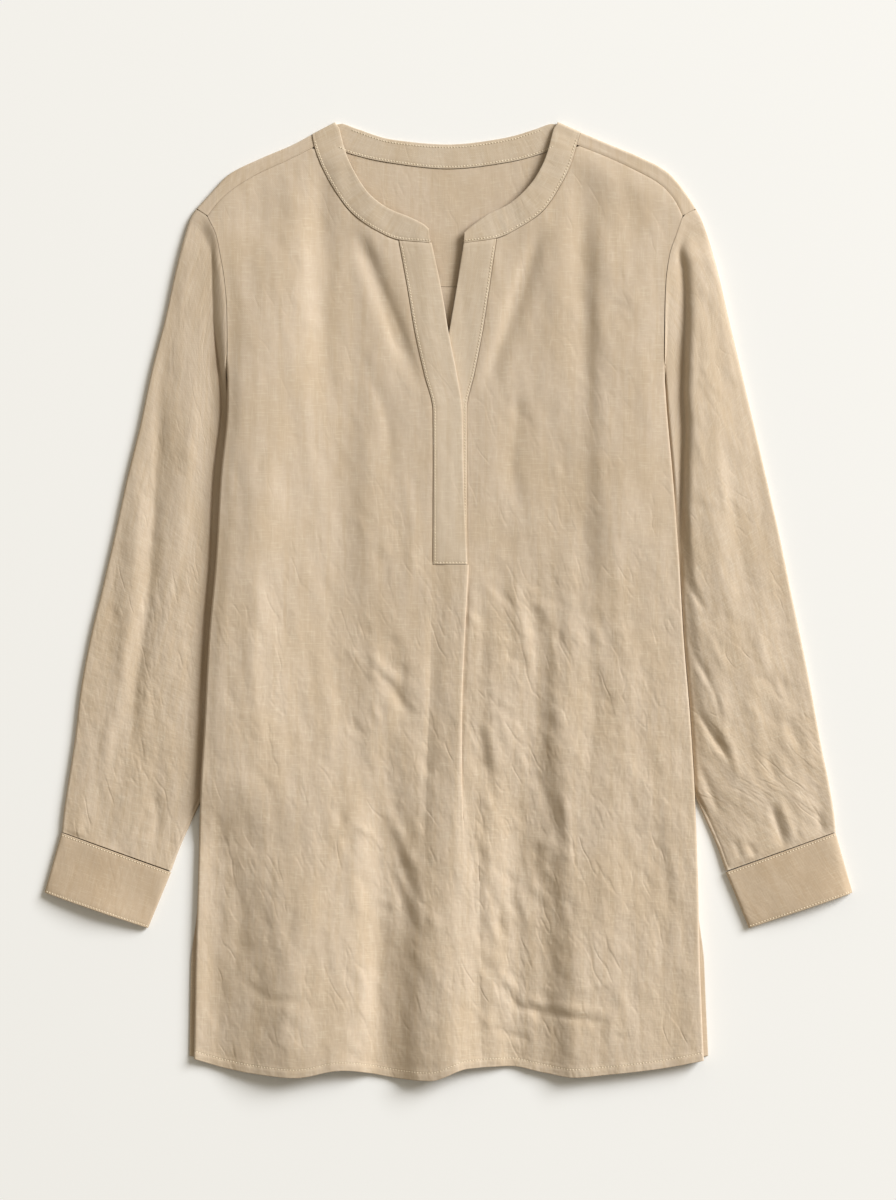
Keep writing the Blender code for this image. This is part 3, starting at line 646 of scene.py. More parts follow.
@dataclass
class Lay:
    """How the garment lies: the edges and heights that its pieces share.

    Attributes:
        creases: Every crease of the front.
        sleeve_creases: Every crease of the two sleeves.
    """

    creases: list[Crease] = field(default_factory=list)
    sleeve_creases: list[Crease] = field(default_factory=list)

    def __post_init__(self) -> None:
        """Gather the placed creases and the random ones."""
        self.creases = CREASES + [crease for patch in CRUMPLES for crease in patch.creases()]
        self.sleeve_creases = SLEEVE_CREASES + [
            crease for patch in SLEEVE_CRUMPLES for crease in patch.creases()
        ]

    def side_x(self, y: Grid, hand: Hand) -> Grid:
        """Tell where the side edge of the front is at a height."""
        return follow(SIDE_EDGE, y, hand.value)

    def shoulder_fold_y(self, x: Grid) -> Grid:
        """Tell how high the folded edge of the shoulder is at x."""
        rows = [Hem(abs(row.fold_x), row.fold_y) for row in SHOULDER_LEFT]
        return follow([Hem(94, 407.5), *rows], np.abs(x), "y")

    def inside(self, x: Grid, y: Grid) -> Grid:
        """Tell how far inside the nearer side edge a place is."""
        left, right = self.side_x(y, Hand.LEFT), self.side_x(y, Hand.RIGHT)
        return np.where(x < 0, x - left, right - x)

    def folded(self, x: Grid, y: Grid) -> Grid:
        """Add up the soft folds at some places."""
        total = np.zeros_like(x)
        for fold in FOLDS:
            down = (fold.top_y - y) / (fold.top_y - fold.low_y)
            across = x - mix(fold.top_x, fold.low_x, down)
            width = np.where(across < 0, fold.left_width, fold.right_width)
            ends = smooth(0, fold.top_fade, fold.top_y - y) * smooth(0, fold.low_fade, y - fold.low_y)
            total += fold.rise * ends * hump(across, 0, width)
        return total

    def crumpled(self, x: Grid, y: Grid) -> Grid:
        """Add up the creases and the linen's own unevenness at some places."""
        total = CREASE_DEPTH * sum(crease.lift(x, y) for crease in self.creases)
        lower = smooth(140, -200, y)
        total += mix(0.8, 1.2, lower) * ripple(x / 30, y / 110, 11)
        total += mix(0.30, 0.5, lower) * ripple(x / 13 + y / 90, y / 48, 12)
        return total + 0.12 * ripple(x / 8, y / 11, 13)

    def top(self, x: Grid, y: Grid) -> Grid:
        """Tell the height of the front layer, without the placket's lap and the drop at its sides."""
        flat = FRONT_TOP + self.folded(x, y)
        inside = self.inside(x, y)
        rounded = smooth(125, 15, inside) * mix(0.8, 1.0, smooth(0, 13, inside))
        flat += np.where(x < 0, LEFT_SWELL, RIGHT_SWELL) * rounded * follow(SIDE_SWELL, y, "rise")
        beside = hump(x - follow(PLEAT, y, "edge_x"), 1.3, 1.2)
        flat -= 0.7 * follow(PLEAT, y, "folded") * smooth(31, 26, y) * beside
        flat += self.crumpled(x, y) * smooth(0, 14, inside)
        flat = np.maximum(flat, TUCKED_TOP + SEAM)
        return mix(FOLDED_TOP, flat, smooth(0, 30, self.shoulder_fold_y(x) - y))

    def lap(self, x: Grid, y: Grid) -> Grid:
        """Tell how far the half that laps over stands above the other half."""
        return LAP_RISE * smooth(-95, -40, x) * follow(PLEAT, y, "folded")

    def front(self, x: Grid, y: Grid, inset: Grid, hand: Hand) -> Grid:
        """Tell the height of the front panel, which rolls down to its side seam below the armhole."""
        height = self.top(x, y)
        edge = np.minimum(height, follow(FRONT_SIDE, y, "rise"))
        full = np.sqrt(1 - (1 - np.clip(inset / EDGE_ROLL, 0, 1)) ** 2)
        below_arm = smooth(UNDERARM_Y + 12, UNDERARM_Y - 20, y)
        lap = self.lap(x, y) if hand is Hand.LEFT else 0.0
        return mix(height, mix(edge, height, full), below_arm) + lap


def placed(name: str, data: bpy.types.ID) -> Blender:
    """Make an object of some data, and put it into the scene."""
    made = bpy.data.objects.new(name, data)
    bpy.context.collection.objects.link(made)
    return made


@dataclass
class Sheet:
    """Rows of points at the middle of one piece of cloth, in millimetres, with NaN where it has a hole.

    Attributes:
        x: Where each point is across the garment.
        y: Where it is along the garment.
        z: How high it is.
        across: Where it is across the cut cloth, with one more column on a closed tube.
        along: Where it is along the cut cloth, with one more column on a closed tube.
        crumple: How crumpled the cloth is there, from 0 to 1.
        closed: Whether the last column meets the first.
    """

    x: Grid
    y: Grid
    z: Grid
    across: Grid
    along: Grid
    crumple: Grid
    closed: bool = False

    def build(self, name: str, wall: float, finish: bpy.types.Material) -> Blender:
        """Make the sheet a mesh with its wall and its finish.

        Args:
            name: The piece's name.
            wall: How thick its cloth is.
            finish: Its material.

        Returns:
            The finished object.
        """
        rows, columns = self.x.shape
        shown = np.isfinite(self.x) & np.isfinite(self.z)
        number = np.full(self.x.shape, -1)
        number[shown] = np.arange(shown.sum())
        points = np.stack([self.x[shown], self.y[shown], self.z[shown]], 1) * MM
        r, c = np.meshgrid(
            np.arange(rows - 1), np.arange(columns if self.closed else columns - 1), indexing="ij"
        )
        r, c = r.ravel(), c.ravel()
        d = (c + 1) % columns
        corners = np.stack([number[r, c], number[r + 1, c], number[r + 1, d], number[r, d]], 1)
        whole = (corners >= 0).all(1)
        flat = np.stack([self.across, self.along], -1) * MM
        uv = np.stack([flat[r, c], flat[r + 1, c], flat[r + 1, c + 1], flat[r, c + 1]], 1)[whole]
        mesh = bpy.data.meshes.new(name)
        mesh.from_pydata(points.tolist(), [], corners[whole].tolist())
        layer = mesh.uv_layers.new(name="cut")
        layer.data.foreach_set("uv", uv.astype(np.float32).ravel())
        crumple = mesh.attributes.new("crumple", "FLOAT", "POINT")
        crumple.data.foreach_set("value", self.crumple[shown].astype(np.float32))
        mesh.shade_smooth()
        mesh.materials.append(finish)
        piece = placed(name, mesh)
        solidify = piece.modifiers.new("Wall", "SOLIDIFY")
        solidify.thickness = wall * MM
        solidify.offset = 0.0
        return piece


def tube(
    strips: Sequence[tuple[Grid, Grid, Grid]], hand: Hand, down: Grid, crumple: tuple[float, float]
) -> Sheet:
    """Join strips of points round an arm to a closed sheet.

    Args:
        strips: The x, y and z of each strip, in order round the arm.
        hand: Which arm it is.
        down: How far down the cloth each row is.
        crumple: How crumpled the cloth is at the top of the arm and at its end.

    Returns:
        The sheet.
    """
    x, y, z = (np.concatenate(parts, 1) for parts in zip(*strips))
    if hand is Hand.RIGHT:
        x, y, z = x[:, ::-1], y[:, ::-1], z[:, ::-1]
    steps = np.sqrt(sum(np.diff(part, append=part[:, :1]) ** 2 for part in (x, y, z)))
    across = np.concatenate([np.zeros((len(x), 1)), np.cumsum(steps, 1)], 1)
    crumpled = mix(*crumple, smooth(200, -100, y))
    return Sheet(x, y, z, across, np.zeros(across.shape) - down, crumpled, closed=True)


def linear(hex_colour: str) -> tuple[float, float, float, float]:
    """Turn an sRGB hex colour to a linear one."""
    parts = [int(hex_colour[i : i + 2], 16) / 255 for i in (1, 3, 5)]
    lit = [part / 12.92 if part <= 0.04045 else ((part + 0.055) / 1.055) ** 2.4 for part in parts]
    return (*lit, 1.0)


def add(
    tree: bpy.types.NodeTree, kind: str, links: dict[str | int, object] | None = None, **settings: object
) -> bpy.types.Node:
    """Add a node with its settings, and with its inputs set or linked.

    Args:
        tree: The node tree.
        kind: The node's type.
        links: A value, or an output to link, for each named or numbered input.
        settings: Values of the node's own properties.

    Returns:
        The node.
    """
    made = tree.nodes.new(kind)
    for name, value in settings.items():
        setattr(made, name, value)
    for key, value in (links or {}).items():
        if isinstance(value, bpy.types.NodeSocket):
            tree.links.new(value, made.inputs[key])
        else:
            made.inputs[key].default_value = value
    return made


def blank(name: str) -> tuple[bpy.types.Material, bpy.types.NodeTree, bpy.types.Node]:
    """Start a material, and give it with its node tree and its shader."""
    material = bpy.data.materials.new(name)
    material.use_nodes = True
    return material, material.node_tree, material.node_tree.nodes["Principled BSDF"]


@dataclass(frozen=True)
class Linen:
    """Linen in plain weave, washed and pressed by hand: dull, dry and uneven.

    Its yarns differ in thickness, so thick places called slubs show as short pale dashes along both yarn
    directions. It takes soft crumples, and it has no gloss but a little fuzz that catches a low light.

    Attributes:
        name: The material's name.
        base: Its middle tone.
        shade: The tone of its darker patches.
        slub: The tone of its thick yarns.
        yarn: The distance between yarns, in millimetres, a little coarser than the real 0.6.
        crumple: How deep its fine crumples are, in millimetres.
        pinch: How deep its sharpest creases are, as a share of that.
    """

    name: str
    base: str
    shade: str
    slub: str
    yarn: float = 0.8
    crumple: float = 1.0
    pinch: float = 0.2

    def make(self) -> bpy.types.Material:
        """Build the material."""
        material, tree, shader = blank(self.name)
        cut = add(tree, "ShaderNodeUVMap", uv_map="cut").outputs[0]

        def patches(
            size: tuple[float, float],
            detail: float,
            shift: float = 0.0,
            lean: float = 0.0,
            shown: tuple[float, float, float] | None = None,
        ) -> bpy.types.NodeSocket:
            """Spread random patches over the cut cloth.

            Args:
                size: How wide and how long they are, in millimetres.
                detail: How many finer layers they have.
                shift: How far the pattern is moved, so that no two are alike.
                lean: How far it leans to the left, in radians.
                shown: The values that become nothing and full, and how strong full is.

            Returns:
                How strong the pattern is at each place.
            """
            place = {"Location": (shift, shift, 0.0), "Rotation": (0.0, 0.0, lean)}
            place["Scale"] = (size[0] * MM, size[1] * MM, 1.0)
            moved = add(tree, "ShaderNodeMapping", {0: cut, **place}, vector_type="TEXTURE").outputs[0]
            grain = {"Vector": moved, "Scale": 1.0, "Detail": detail, "Roughness": 0.55}
            noise = add(tree, "ShaderNodeTexNoise", grain, noise_dimensions="2D").outputs[0]
            if shown is None:
                return noise
            low, high, top = shown
            span = {0: noise, 1: low, 2: high, 3: 0.0, 4: top}
            return add(tree, "ShaderNodeMapRange", span, interpolation_type="SMOOTHSTEP").outputs[0]

        def worked(operation: str, *values: object) -> bpy.types.NodeSocket:
            """Work out a sum of some values."""
            return add(tree, "ShaderNodeMath", dict(enumerate(values)), operation=operation).outputs[0]

        weft_slub = patches((13, 1.0), 1.0, 7.7, shown=(0.54, 0.78, 0.36))
        warp_slub = patches((1.0, 17), 1.0, 5.3, shown=(0.54, 0.78, 0.3))
        mottle = patches((42, 70), 3.0, shown=(0.35, 0.72, 0.55))
        streak = patches((5, 90), 2.0, 3.1, shown=(0.42, 0.75, 0.5))
        yarn_tone = patches((3.2, 3.2), 2.0, 1.9, shown=(0.3, 0.7, 0.25))
        colour = linear(self.base)
        for share in (mottle, streak, yarn_tone, weft_slub, warp_slub):
            tone = linear(self.slub if share in (weft_slub, warp_slub) else self.shade)
            mixed = {0: share, 6: colour, 7: tone}
            colour = add(tree, "ShaderNodeMix", mixed, data_type="RGBA").outputs[2]
        tree.links.new(colour, shader.inputs["Base Color"])

        # Two sine waves cross as the warp and the weft do, and the slubs stand out from them
        turn = np.pi * 1000 / self.yarn
        wave = add(tree, "ShaderNodeVectorMath", {0: cut, 1: (turn, turn, 0.0)}, operation="MULTIPLY")
        wave = add(tree, "ShaderNodeVectorMath", {0: wave.outputs[0]}, operation="SINE")
        warp, weft, _ = add(tree, "ShaderNodeSeparateXYZ", {0: wave.outputs[0]}).outputs
        weave = worked("MULTIPLY", weft, warp)
        yarns = worked("MULTIPLY_ADD", weave, 0.5, worked("ADD", weft_slub, warp_slub))

        # Soft crumples of two sizes, and sharp creases where a noise crosses its middle
        soft = worked("MULTIPLY_ADD", patches((4.5, 6), 2.0, 9.1), 0.3, patches((15, 22), 3.0, 2.2))
        bent = worked("ABSOLUTE", worked("SUBTRACT", patches((20, 62), 2.0, 4.4, 0.38), 0.5))
        span = {0: bent, 1: 0.0, 2: 0.07, 3: 0.0, 4: self.pinch}
        sharp = add(tree, "ShaderNodeMapRange", span, interpolation_type="SMOOTHSTEP").outputs[0]
        pinched = patches((34, 52), 1.0, 6.3, shown=(0.46, 0.6, 1.0))
        crumple_map = add(tree, "ShaderNodeAttribute", attribute_name="crumple").outputs["Fac"]
        folds = worked("MULTIPLY", worked("MULTIPLY_ADD", sharp, pinched, soft), crumple_map)
        wrinkles = add(
            tree, "ShaderNodeBump", {"Height": folds, "Strength": 1.0, "Distance": self.crumple * MM}
        )
        threads = add(
            tree,
            "ShaderNodeBump",
            {"Height": yarns, "Strength": 0.6, "Distance": 0.06 * MM, "Normal": wrinkles.outputs[0]},
        )
        tree.links.new(threads.outputs[0], shader.inputs["Normal"])
        shader.inputs["Roughness"].default_value = 0.92
        shader.inputs["Specular IOR Level"].default_value = 0.25
        shader.inputs["Sheen Weight"].default_value = 0.12
        shader.inputs["Sheen Roughness"].default_value = 0.6
        return material


@dataclass(frozen=True)
class SewingThread:
    """Spun polyester sewing thread, dyed a tone lighter than the linen and a little smoother."""

    name: str = "sewing_thread"
    base: str = "#f1e7d2"

    def make(self) -> bpy.types.Material:
        """Build the material."""
        material, tree, shader = blank(self.name)
        place = add(tree, "ShaderNodeTexCoord").outputs["Object"]
        ply = add(tree, "ShaderNodeTexNoise", {"Vector": place, "Scale": 900.0, "Detail": 1.0}).outputs[0]
        tone = add(
            tree,
            "ShaderNodeMix",
            {0: ply, 6: linear(self.base), 7: linear("#e2d4b8")},
            data_type="RGBA",
        )
        tree.links.new(tone.outputs[2], shader.inputs["Base Color"])
        twist = add(tree, "ShaderNodeBump", {"Height": ply, "Strength": 0.4, "Distance": 0.1 * MM})
        tree.links.new(twist.outputs[0], shader.inputs["Normal"])
        shader.inputs["Roughness"].default_value = 0.7
        return material


@dataclass(frozen=True)
class MattPaper:
    """Seamless matt studio paper: pale, flat and without grain at this distance."""

    name: str = "studio_paper"
    base: str = "#f4f4f1"

    def make(self) -> bpy.types.Material:
        """Build the material."""
        material, _, shader = blank(self.name)
        shader.inputs["Base Color"].default_value = linear(self.base)
        shader.inputs["Roughness"].default_value = 1.0
        shader.inputs["Specular IOR Level"].default_value = 0.0
        return material


@dataclass
class Front:
    """The front: two halves beside the placket, joined below it by the pleat.

    Attributes:
        lay: How the garment lies.
        wall: How thick its cloth is.
        spacing: How far apart its points are.
        hem: How deep its hem is turned up.
        beneath: How many columns of points lie under the pleat's edge.
        dip: How deep the cloth dips at a seam.
        tuck: How far the side edge is tucked in below the underarm.
    """

    lay: Lay
    wall: float = 1.1
    spacing: float = 2.6
    hem: float = 8.0
    beneath: int = 10
    dip: float = 0.25
    tuck: float = 1.4

    def top_edge(self, hand: Hand) -> tuple[Grid, Grid]:
        """List the top edge of a half, from the armhole along the yoke seam and the neckband."""
        shoulder, band = (SHOULDER_LEFT, BAND_LEFT) if hand is Hand.LEFT else (SHOULDER_RIGHT, BAND_RIGHT)
        out = np.linspace(1.0, 0.02, 60)
        place = np.linspace(0.9, 0.15, 60)
        beside_band = follow(band, place, "seam_x") + hand.out * SEAM
        x = np.concatenate([follow(shoulder, out, "seam_x"), beside_band])
        y = np.concatenate([follow(shoulder, out, "seam_y"), follow(band, place, "seam_y")]) - SEAM
        return x, y

    def half(self, hand: Hand, above: Grid, below: Grid) -> tuple[Grid, Grid, Grid]:
        """Lay out one half.

        Args:
            hand: Which half.
            above: Shares of the height from the top edge to the placket's end.
            below: Shares of the height from there to the hem.

        Returns:
            The x, y and z of its points, in rows from the top and columns from the side edge.
        """
        edge_x, edge_y = self.top_edge(hand)
        order = np.argsort(edge_x)
        share = insets(abs(edge_x[-1] - edge_x[0]), (0.15, 0.5, 1.0, 1.8, 3.0), (0.5, 1.4), self.spacing)
        top_x = mix(edge_x[0], edge_x[-1], share)
        top_y = np.interp(top_x, edge_x[order], edge_y[order])
        slit = "upper_left" if hand is Hand.LEFT else "lower_right"
        root = "left_x" if hand is Hand.LEFT else "right_x"
        end_y = PLACKET_END_Y - SEAM
        upper = mix(top_y[None, :], end_y, above[:, None])
        foot_y = np.array(FOOT_Y)
        foot_x = mix(self.lay.side_x(foot_y, hand), follow(PLEAT, foot_y, root), share)
        hem_y = follow(FRONT_HEM, foot_x, "y")
        lower = mix(end_y, hem_y[None, :], below[1:, None])
        y = np.concatenate([upper, lower])
        inner = np.where(
            y > end_y, follow(PLACKET, y, slit) + hand.out * SEAM, follow(PLEAT, y, root)
        )
        side = self.lay.side_x(y, hand)
        x = mix(side, inner, share[None, :])
        z = self.lay.front(x, y, np.abs(x - side), hand)
        z -= self.dip * smooth(1.8, 0, top_y[None, :] - y)
        slit_drop = smooth(1.8, 0, np.abs(x - inner)) * smooth(end_y - 6, end_y + 2, y)
        tucked = self.tuck * smooth(0.5, 0, np.abs(x - side)) * smooth(UNDERARM_Y, UNDERARM_Y - 20, y)
        return x - hand.out * tucked, y, z - 0.2 * slit_drop

    def pleat(self, above: Grid, below: Grid) -> tuple[Grid, Grid, Grid]:
        """Lay out the pleat, which starts under the placket's stitched end."""
        flat, turned = (0, 0.33, 0.66, 1, 1.4, 1.7, 2, 2.35, 2.6, 2.8, 3), (3.2, 3.4, 3.7, 4, 4.3, 4.65)
        place = np.array([*flat, *turned, 5, 5.35, 5.7, 6, 6.5, 7])
        steps = below[:, None]
        end_y = PLACKET_END_Y - SEAM
        y = mix(end_y, follow(FRONT_HEM, np.array(0.0), "y"), steps)
        folded = follow(PLEAT, y, "folded")
        let_out, pressed = (
            [follow(PLEAT_SECTION, place, way + state)[None, :] for way in ("across_", "up_")]
            for state in ("open", "folded")
        )
        across, rise = (mix(*states, folded) for states in zip(let_out, pressed))
        x = follow(PLEAT, y, "edge_x") + across
        y = mix(end_y, follow(FRONT_HEM, x, "y"), steps)
        z = self.lay.top(x, y) + rise
        under = np.linspace(0, 1, self.beneath + 2)[None, 1:-1]
        root = follow(PLEAT, y[:, -1:], "right_x")
        under_x = mix(x[:, -1:], root, under)
        under_y = mix(end_y, follow(FRONT_HEM, under_x, "y"), steps)
        under_z = self.lay.top(under_x, under_y) + mix(rise[:, -1:], 0.0, under)
        x, y = np.concatenate([x, under_x], 1), np.concatenate([y, under_y], 1)
        z = np.concatenate([z, under_z], 1)
        hole = np.full((len(above) - 1, x.shape[1]), np.nan)
        return np.concatenate([hole, x]), np.concatenate([hole, y]), np.concatenate([hole, z])

    def hemmed(self, x: Grid, y: Grid, z: Grid) -> Grid:
        """Thicken and pucker the lowest strip, where the hem is turned up and stitched."""
        up = y - follow(FRONT_HEM, x, "y")
        fold = 0.5 * smooth(self.hem + 1.2, self.hem - 0.8, up)
        pucker = 0.45 * hump(up, self.hem - 1, 5.5) * ripple(x / 6.5, up / 30, 21)
        return z + fold + pucker - 0.45 * hump(up, self.hem - 1.2, STITCH_PULL)

    def build(self, finish: bpy.types.Material) -> Blender:
        """Make the front."""
        above = insets(350.0, (0.5, 1.3, 2.6), (0.5, 1.4), self.spacing + 0.2)
        hem_rows = (0.5, 1.5, 3.4, 5.2, 6.2, 6.8, 7.4, 8.2, 9.4, 11.2)
        below = insets(430.0, (0.5, 1.4), hem_rows, self.spacing)
        left = self.half(Hand.LEFT, above, below)
        right = self.half(Hand.RIGHT, above, below)
        pleat = self.pleat(above, below)
        x, y, z = (
            np.concatenate([a, b, c[:, ::-1]], 1) for a, b, c in zip(left, pleat, right)
        )
        z = self.hemmed(x, y, z)
        across = np.nan_to_num(x)
        first, last = left[0].shape[1], left[0].shape[1] + pleat[0].shape[1] - self.beneath
        shown_x, shown_z = pleat[0][:, : -self.beneath], pleat[2][:, : -self.beneath]
        steps = np.hypot(np.diff(shown_x, axis=1), np.diff(shown_z, axis=1))
        walked = np.concatenate([np.zeros((len(x), 1)), np.cumsum(np.nan_to_num(steps), 1)], 1)
        across[:, first:last] = np.nan_to_num(x[:, first : first + 1]) + walked
        crumple = mix(0.35, 1.0, smooth(160, -120, y)) * mix(0.75, 1.0, smooth(-60, 40, x))
        sheet = Sheet(x, y, z, across, np.nan_to_num(y), np.nan_to_num(crumple))
        return sheet.build("front_panel", self.wall, finish)


@dataclass
class Back:
    """The back: flat on the floor, with its sides lifted over the tucked sleeves.

    Attributes:
        lay: How the garment lies.
        wall: How thick its cloth is.
        spacing: How far apart its points are.
    """

    lay: Lay
    wall: float = 1.1
    spacing: float = 4.5

    def build(self, finish: bpy.types.Material) -> Blender:
        """Make the back."""
        sides = (0.5, 1.6, 4, 7, 11, 15, 22, 30, 34, 38, 42)
        share = insets(390.0, sides, sides, self.spacing)
        down = insets(655.0, (0.5, 1.5), (0.5, 1.6, 3.4, 6.8, 8), self.spacing)
        level = mix(YOKE_SEAM_Y - SEAM, BACK_HEM[1].y, down)[:, None]
        edges = []
        for hand in Hand:
            armhole = follow(BACK_ARMHOLE, level, hand.value)
            edge = np.where(level > UNDERARM_Y, armhole, self.lay.side_x(level, hand))
            edges.append(edge + hand.out * VENT_SHOW * smooth(VENT_TOP_Y + 20, VENT_TOP_Y - 30, level))
        x = mix(edges[0], edges[1], share[None, :])
        hem_y = follow(BACK_HEM, x, "y")
        y = mix(YOKE_SEAM_Y - SEAM, hem_y, down[:, None])
        inset = np.minimum(x - edges[0], edges[1] - x)
        lift = follow(BACK_LIFT, y, "rise") * smooth(42, 30, inset)
        z = LYING + lift + 0.35 * np.abs(ripple(x / 26, y / 60, 31)) * smooth(0, 12, inset)
        z += 0.25 * smooth(0, 1.5, YOKE_SEAM_Y - SEAM - y)
        crumple = np.full(x.shape, 0.5)
        return Sheet(x, y, z, x + BACK_CUT, y, crumple).build("back_panel", self.wall, finish)


@dataclass
class Yoke:
    """The yoke: its back part lies flat, and its wings fold over the shoulders to the front seams.

    Attributes:
        lay: How the garment lies.
        wall: How thick its cloth is.
        rows: How many rows its back part has.
    """

    lay: Lay
    wall: float = 1.1
    rows: int = 44

    def levels(self) -> Grid:
        """List the rows of the back part, as shares of the way from its seam to its upper edge."""
        return insets(100.0, (0.5, 1.5), (0.5,), 100.0 / self.rows)[:, None]

    def wing(self, hand: Hand) -> tuple[Grid, Grid, Grid]:
        """Lay out one wing, in rows from the yoke seam at the back to the front seam."""
        shoulder = SHOULDER_LEFT if hand is Hand.LEFT else SHOULDER_RIGHT
        place = 1 - insets(110.0, (0.5, 1.5), (0.5, 1.5), 3.4)
        fold_x, fold_y = follow(shoulder, place, "fold_x"), follow(shoulder, place, "fold_y")
        seam_x, seam_y = follow(shoulder, place, "seam_x"), follow(shoulder, place, "seam_y")
        shift = hand.out * SEAM * (place < 0.001)
        fold_x, seam_x = fold_x + shift, seam_x + shift
        length = np.hypot(seam_x - fold_x, seam_y - fold_y)
        in_x, in_y = (seam_x - fold_x) / length, (seam_y - fold_y) / length
        turn_x, turn_y = fold_x + in_x * FOLD_RADIUS, fold_y + in_y * FOLD_RADIUS
        foot_x = mix(hand.out * 116, follow(BACK_ARMHOLE, np.array(YOKE_SEAM_Y), hand.value), place)
        up = self.levels()
        back_y = mix(YOKE_SEAM_Y, turn_y, up)
        back_x = mix(foot_x, turn_x, up)
        bow = follow(BACK_ARMHOLE, back_y, hand.value) - back_x[:, :1]
        back_x = back_x + bow * smooth(0.8, 1.0, place)
        back_z = np.full(back_x.shape, LYING)
        angle = np.radians(np.linspace(-60, 90, 8))[:, None]
        reach = FOLD_RADIUS * np.cos(angle)
        arc_x, arc_y = turn_x - in_x * reach, turn_y - in_y * reach
        arc_z = LYING + FOLD_RADIUS * (1 + np.sin(angle)) + np.zeros(place.shape)
        down = insets(11.0, (), (0.5, 1.3), 1.6)[1:, None]
        flap_x, flap_y = mix(turn_x, seam_x, down), mix(turn_y, seam_y, down)
        flap_z = np.maximum(FOLDED_TOP, self.lay.top(flap_x, flap_y))
        far = np.hypot(flap_x - seam_x, flap_y - seam_y)
        flap_z = flap_z - 0.45 * smooth(1.8, 0, far)
        return (
            np.concatenate([back_x, arc_x, flap_x]),
            np.concatenate([back_y, arc_y, flap_y]),
            np.concatenate([back_z, arc_z, flap_z]),
        )

    def build(self, finish: bpy.types.Material) -> Blender:
        """Make the yoke."""
        left, right = self.wing(Hand.LEFT), self.wing(Hand.RIGHT)
        up = self.levels()
        place = np.linspace(0.03, 0.97, 61)
        top_x = follow(BAND_BACK, place, "seam_x")
        top_y = follow(BAND_BACK, place, "seam_y") - SEAM
        middle_y = mix(YOKE_SEAM_Y, top_y, up)
        middle_x = np.zeros(middle_y.shape) + top_x
        middle_z = LYING + 0.25 * np.abs(ripple(middle_x / 18, middle_y / 40, 41))
        hole = np.full((len(left[0]) - len(up), len(place)), np.nan)
        middle = [np.concatenate([part, hole]) for part in (middle_x, middle_y, middle_z)]
        x, y, z = (
            np.concatenate([a, b, c[:, ::-1]], 1)[::-1] for a, b, c in zip(left, middle, right)
        )
        steps = np.hypot(np.diff(y, axis=0), np.diff(z, axis=0))
        walked = np.concatenate([np.zeros((1, x.shape[1])), np.cumsum(np.nan_to_num(steps), 0)])
        crumple = np.full(x.shape, 0.35)
        sheet = Sheet(x, y, z, np.nan_to_num(x) + BACK_CUT, -walked, crumple)
        return sheet.build("yoke_panel", self.wall, finish)


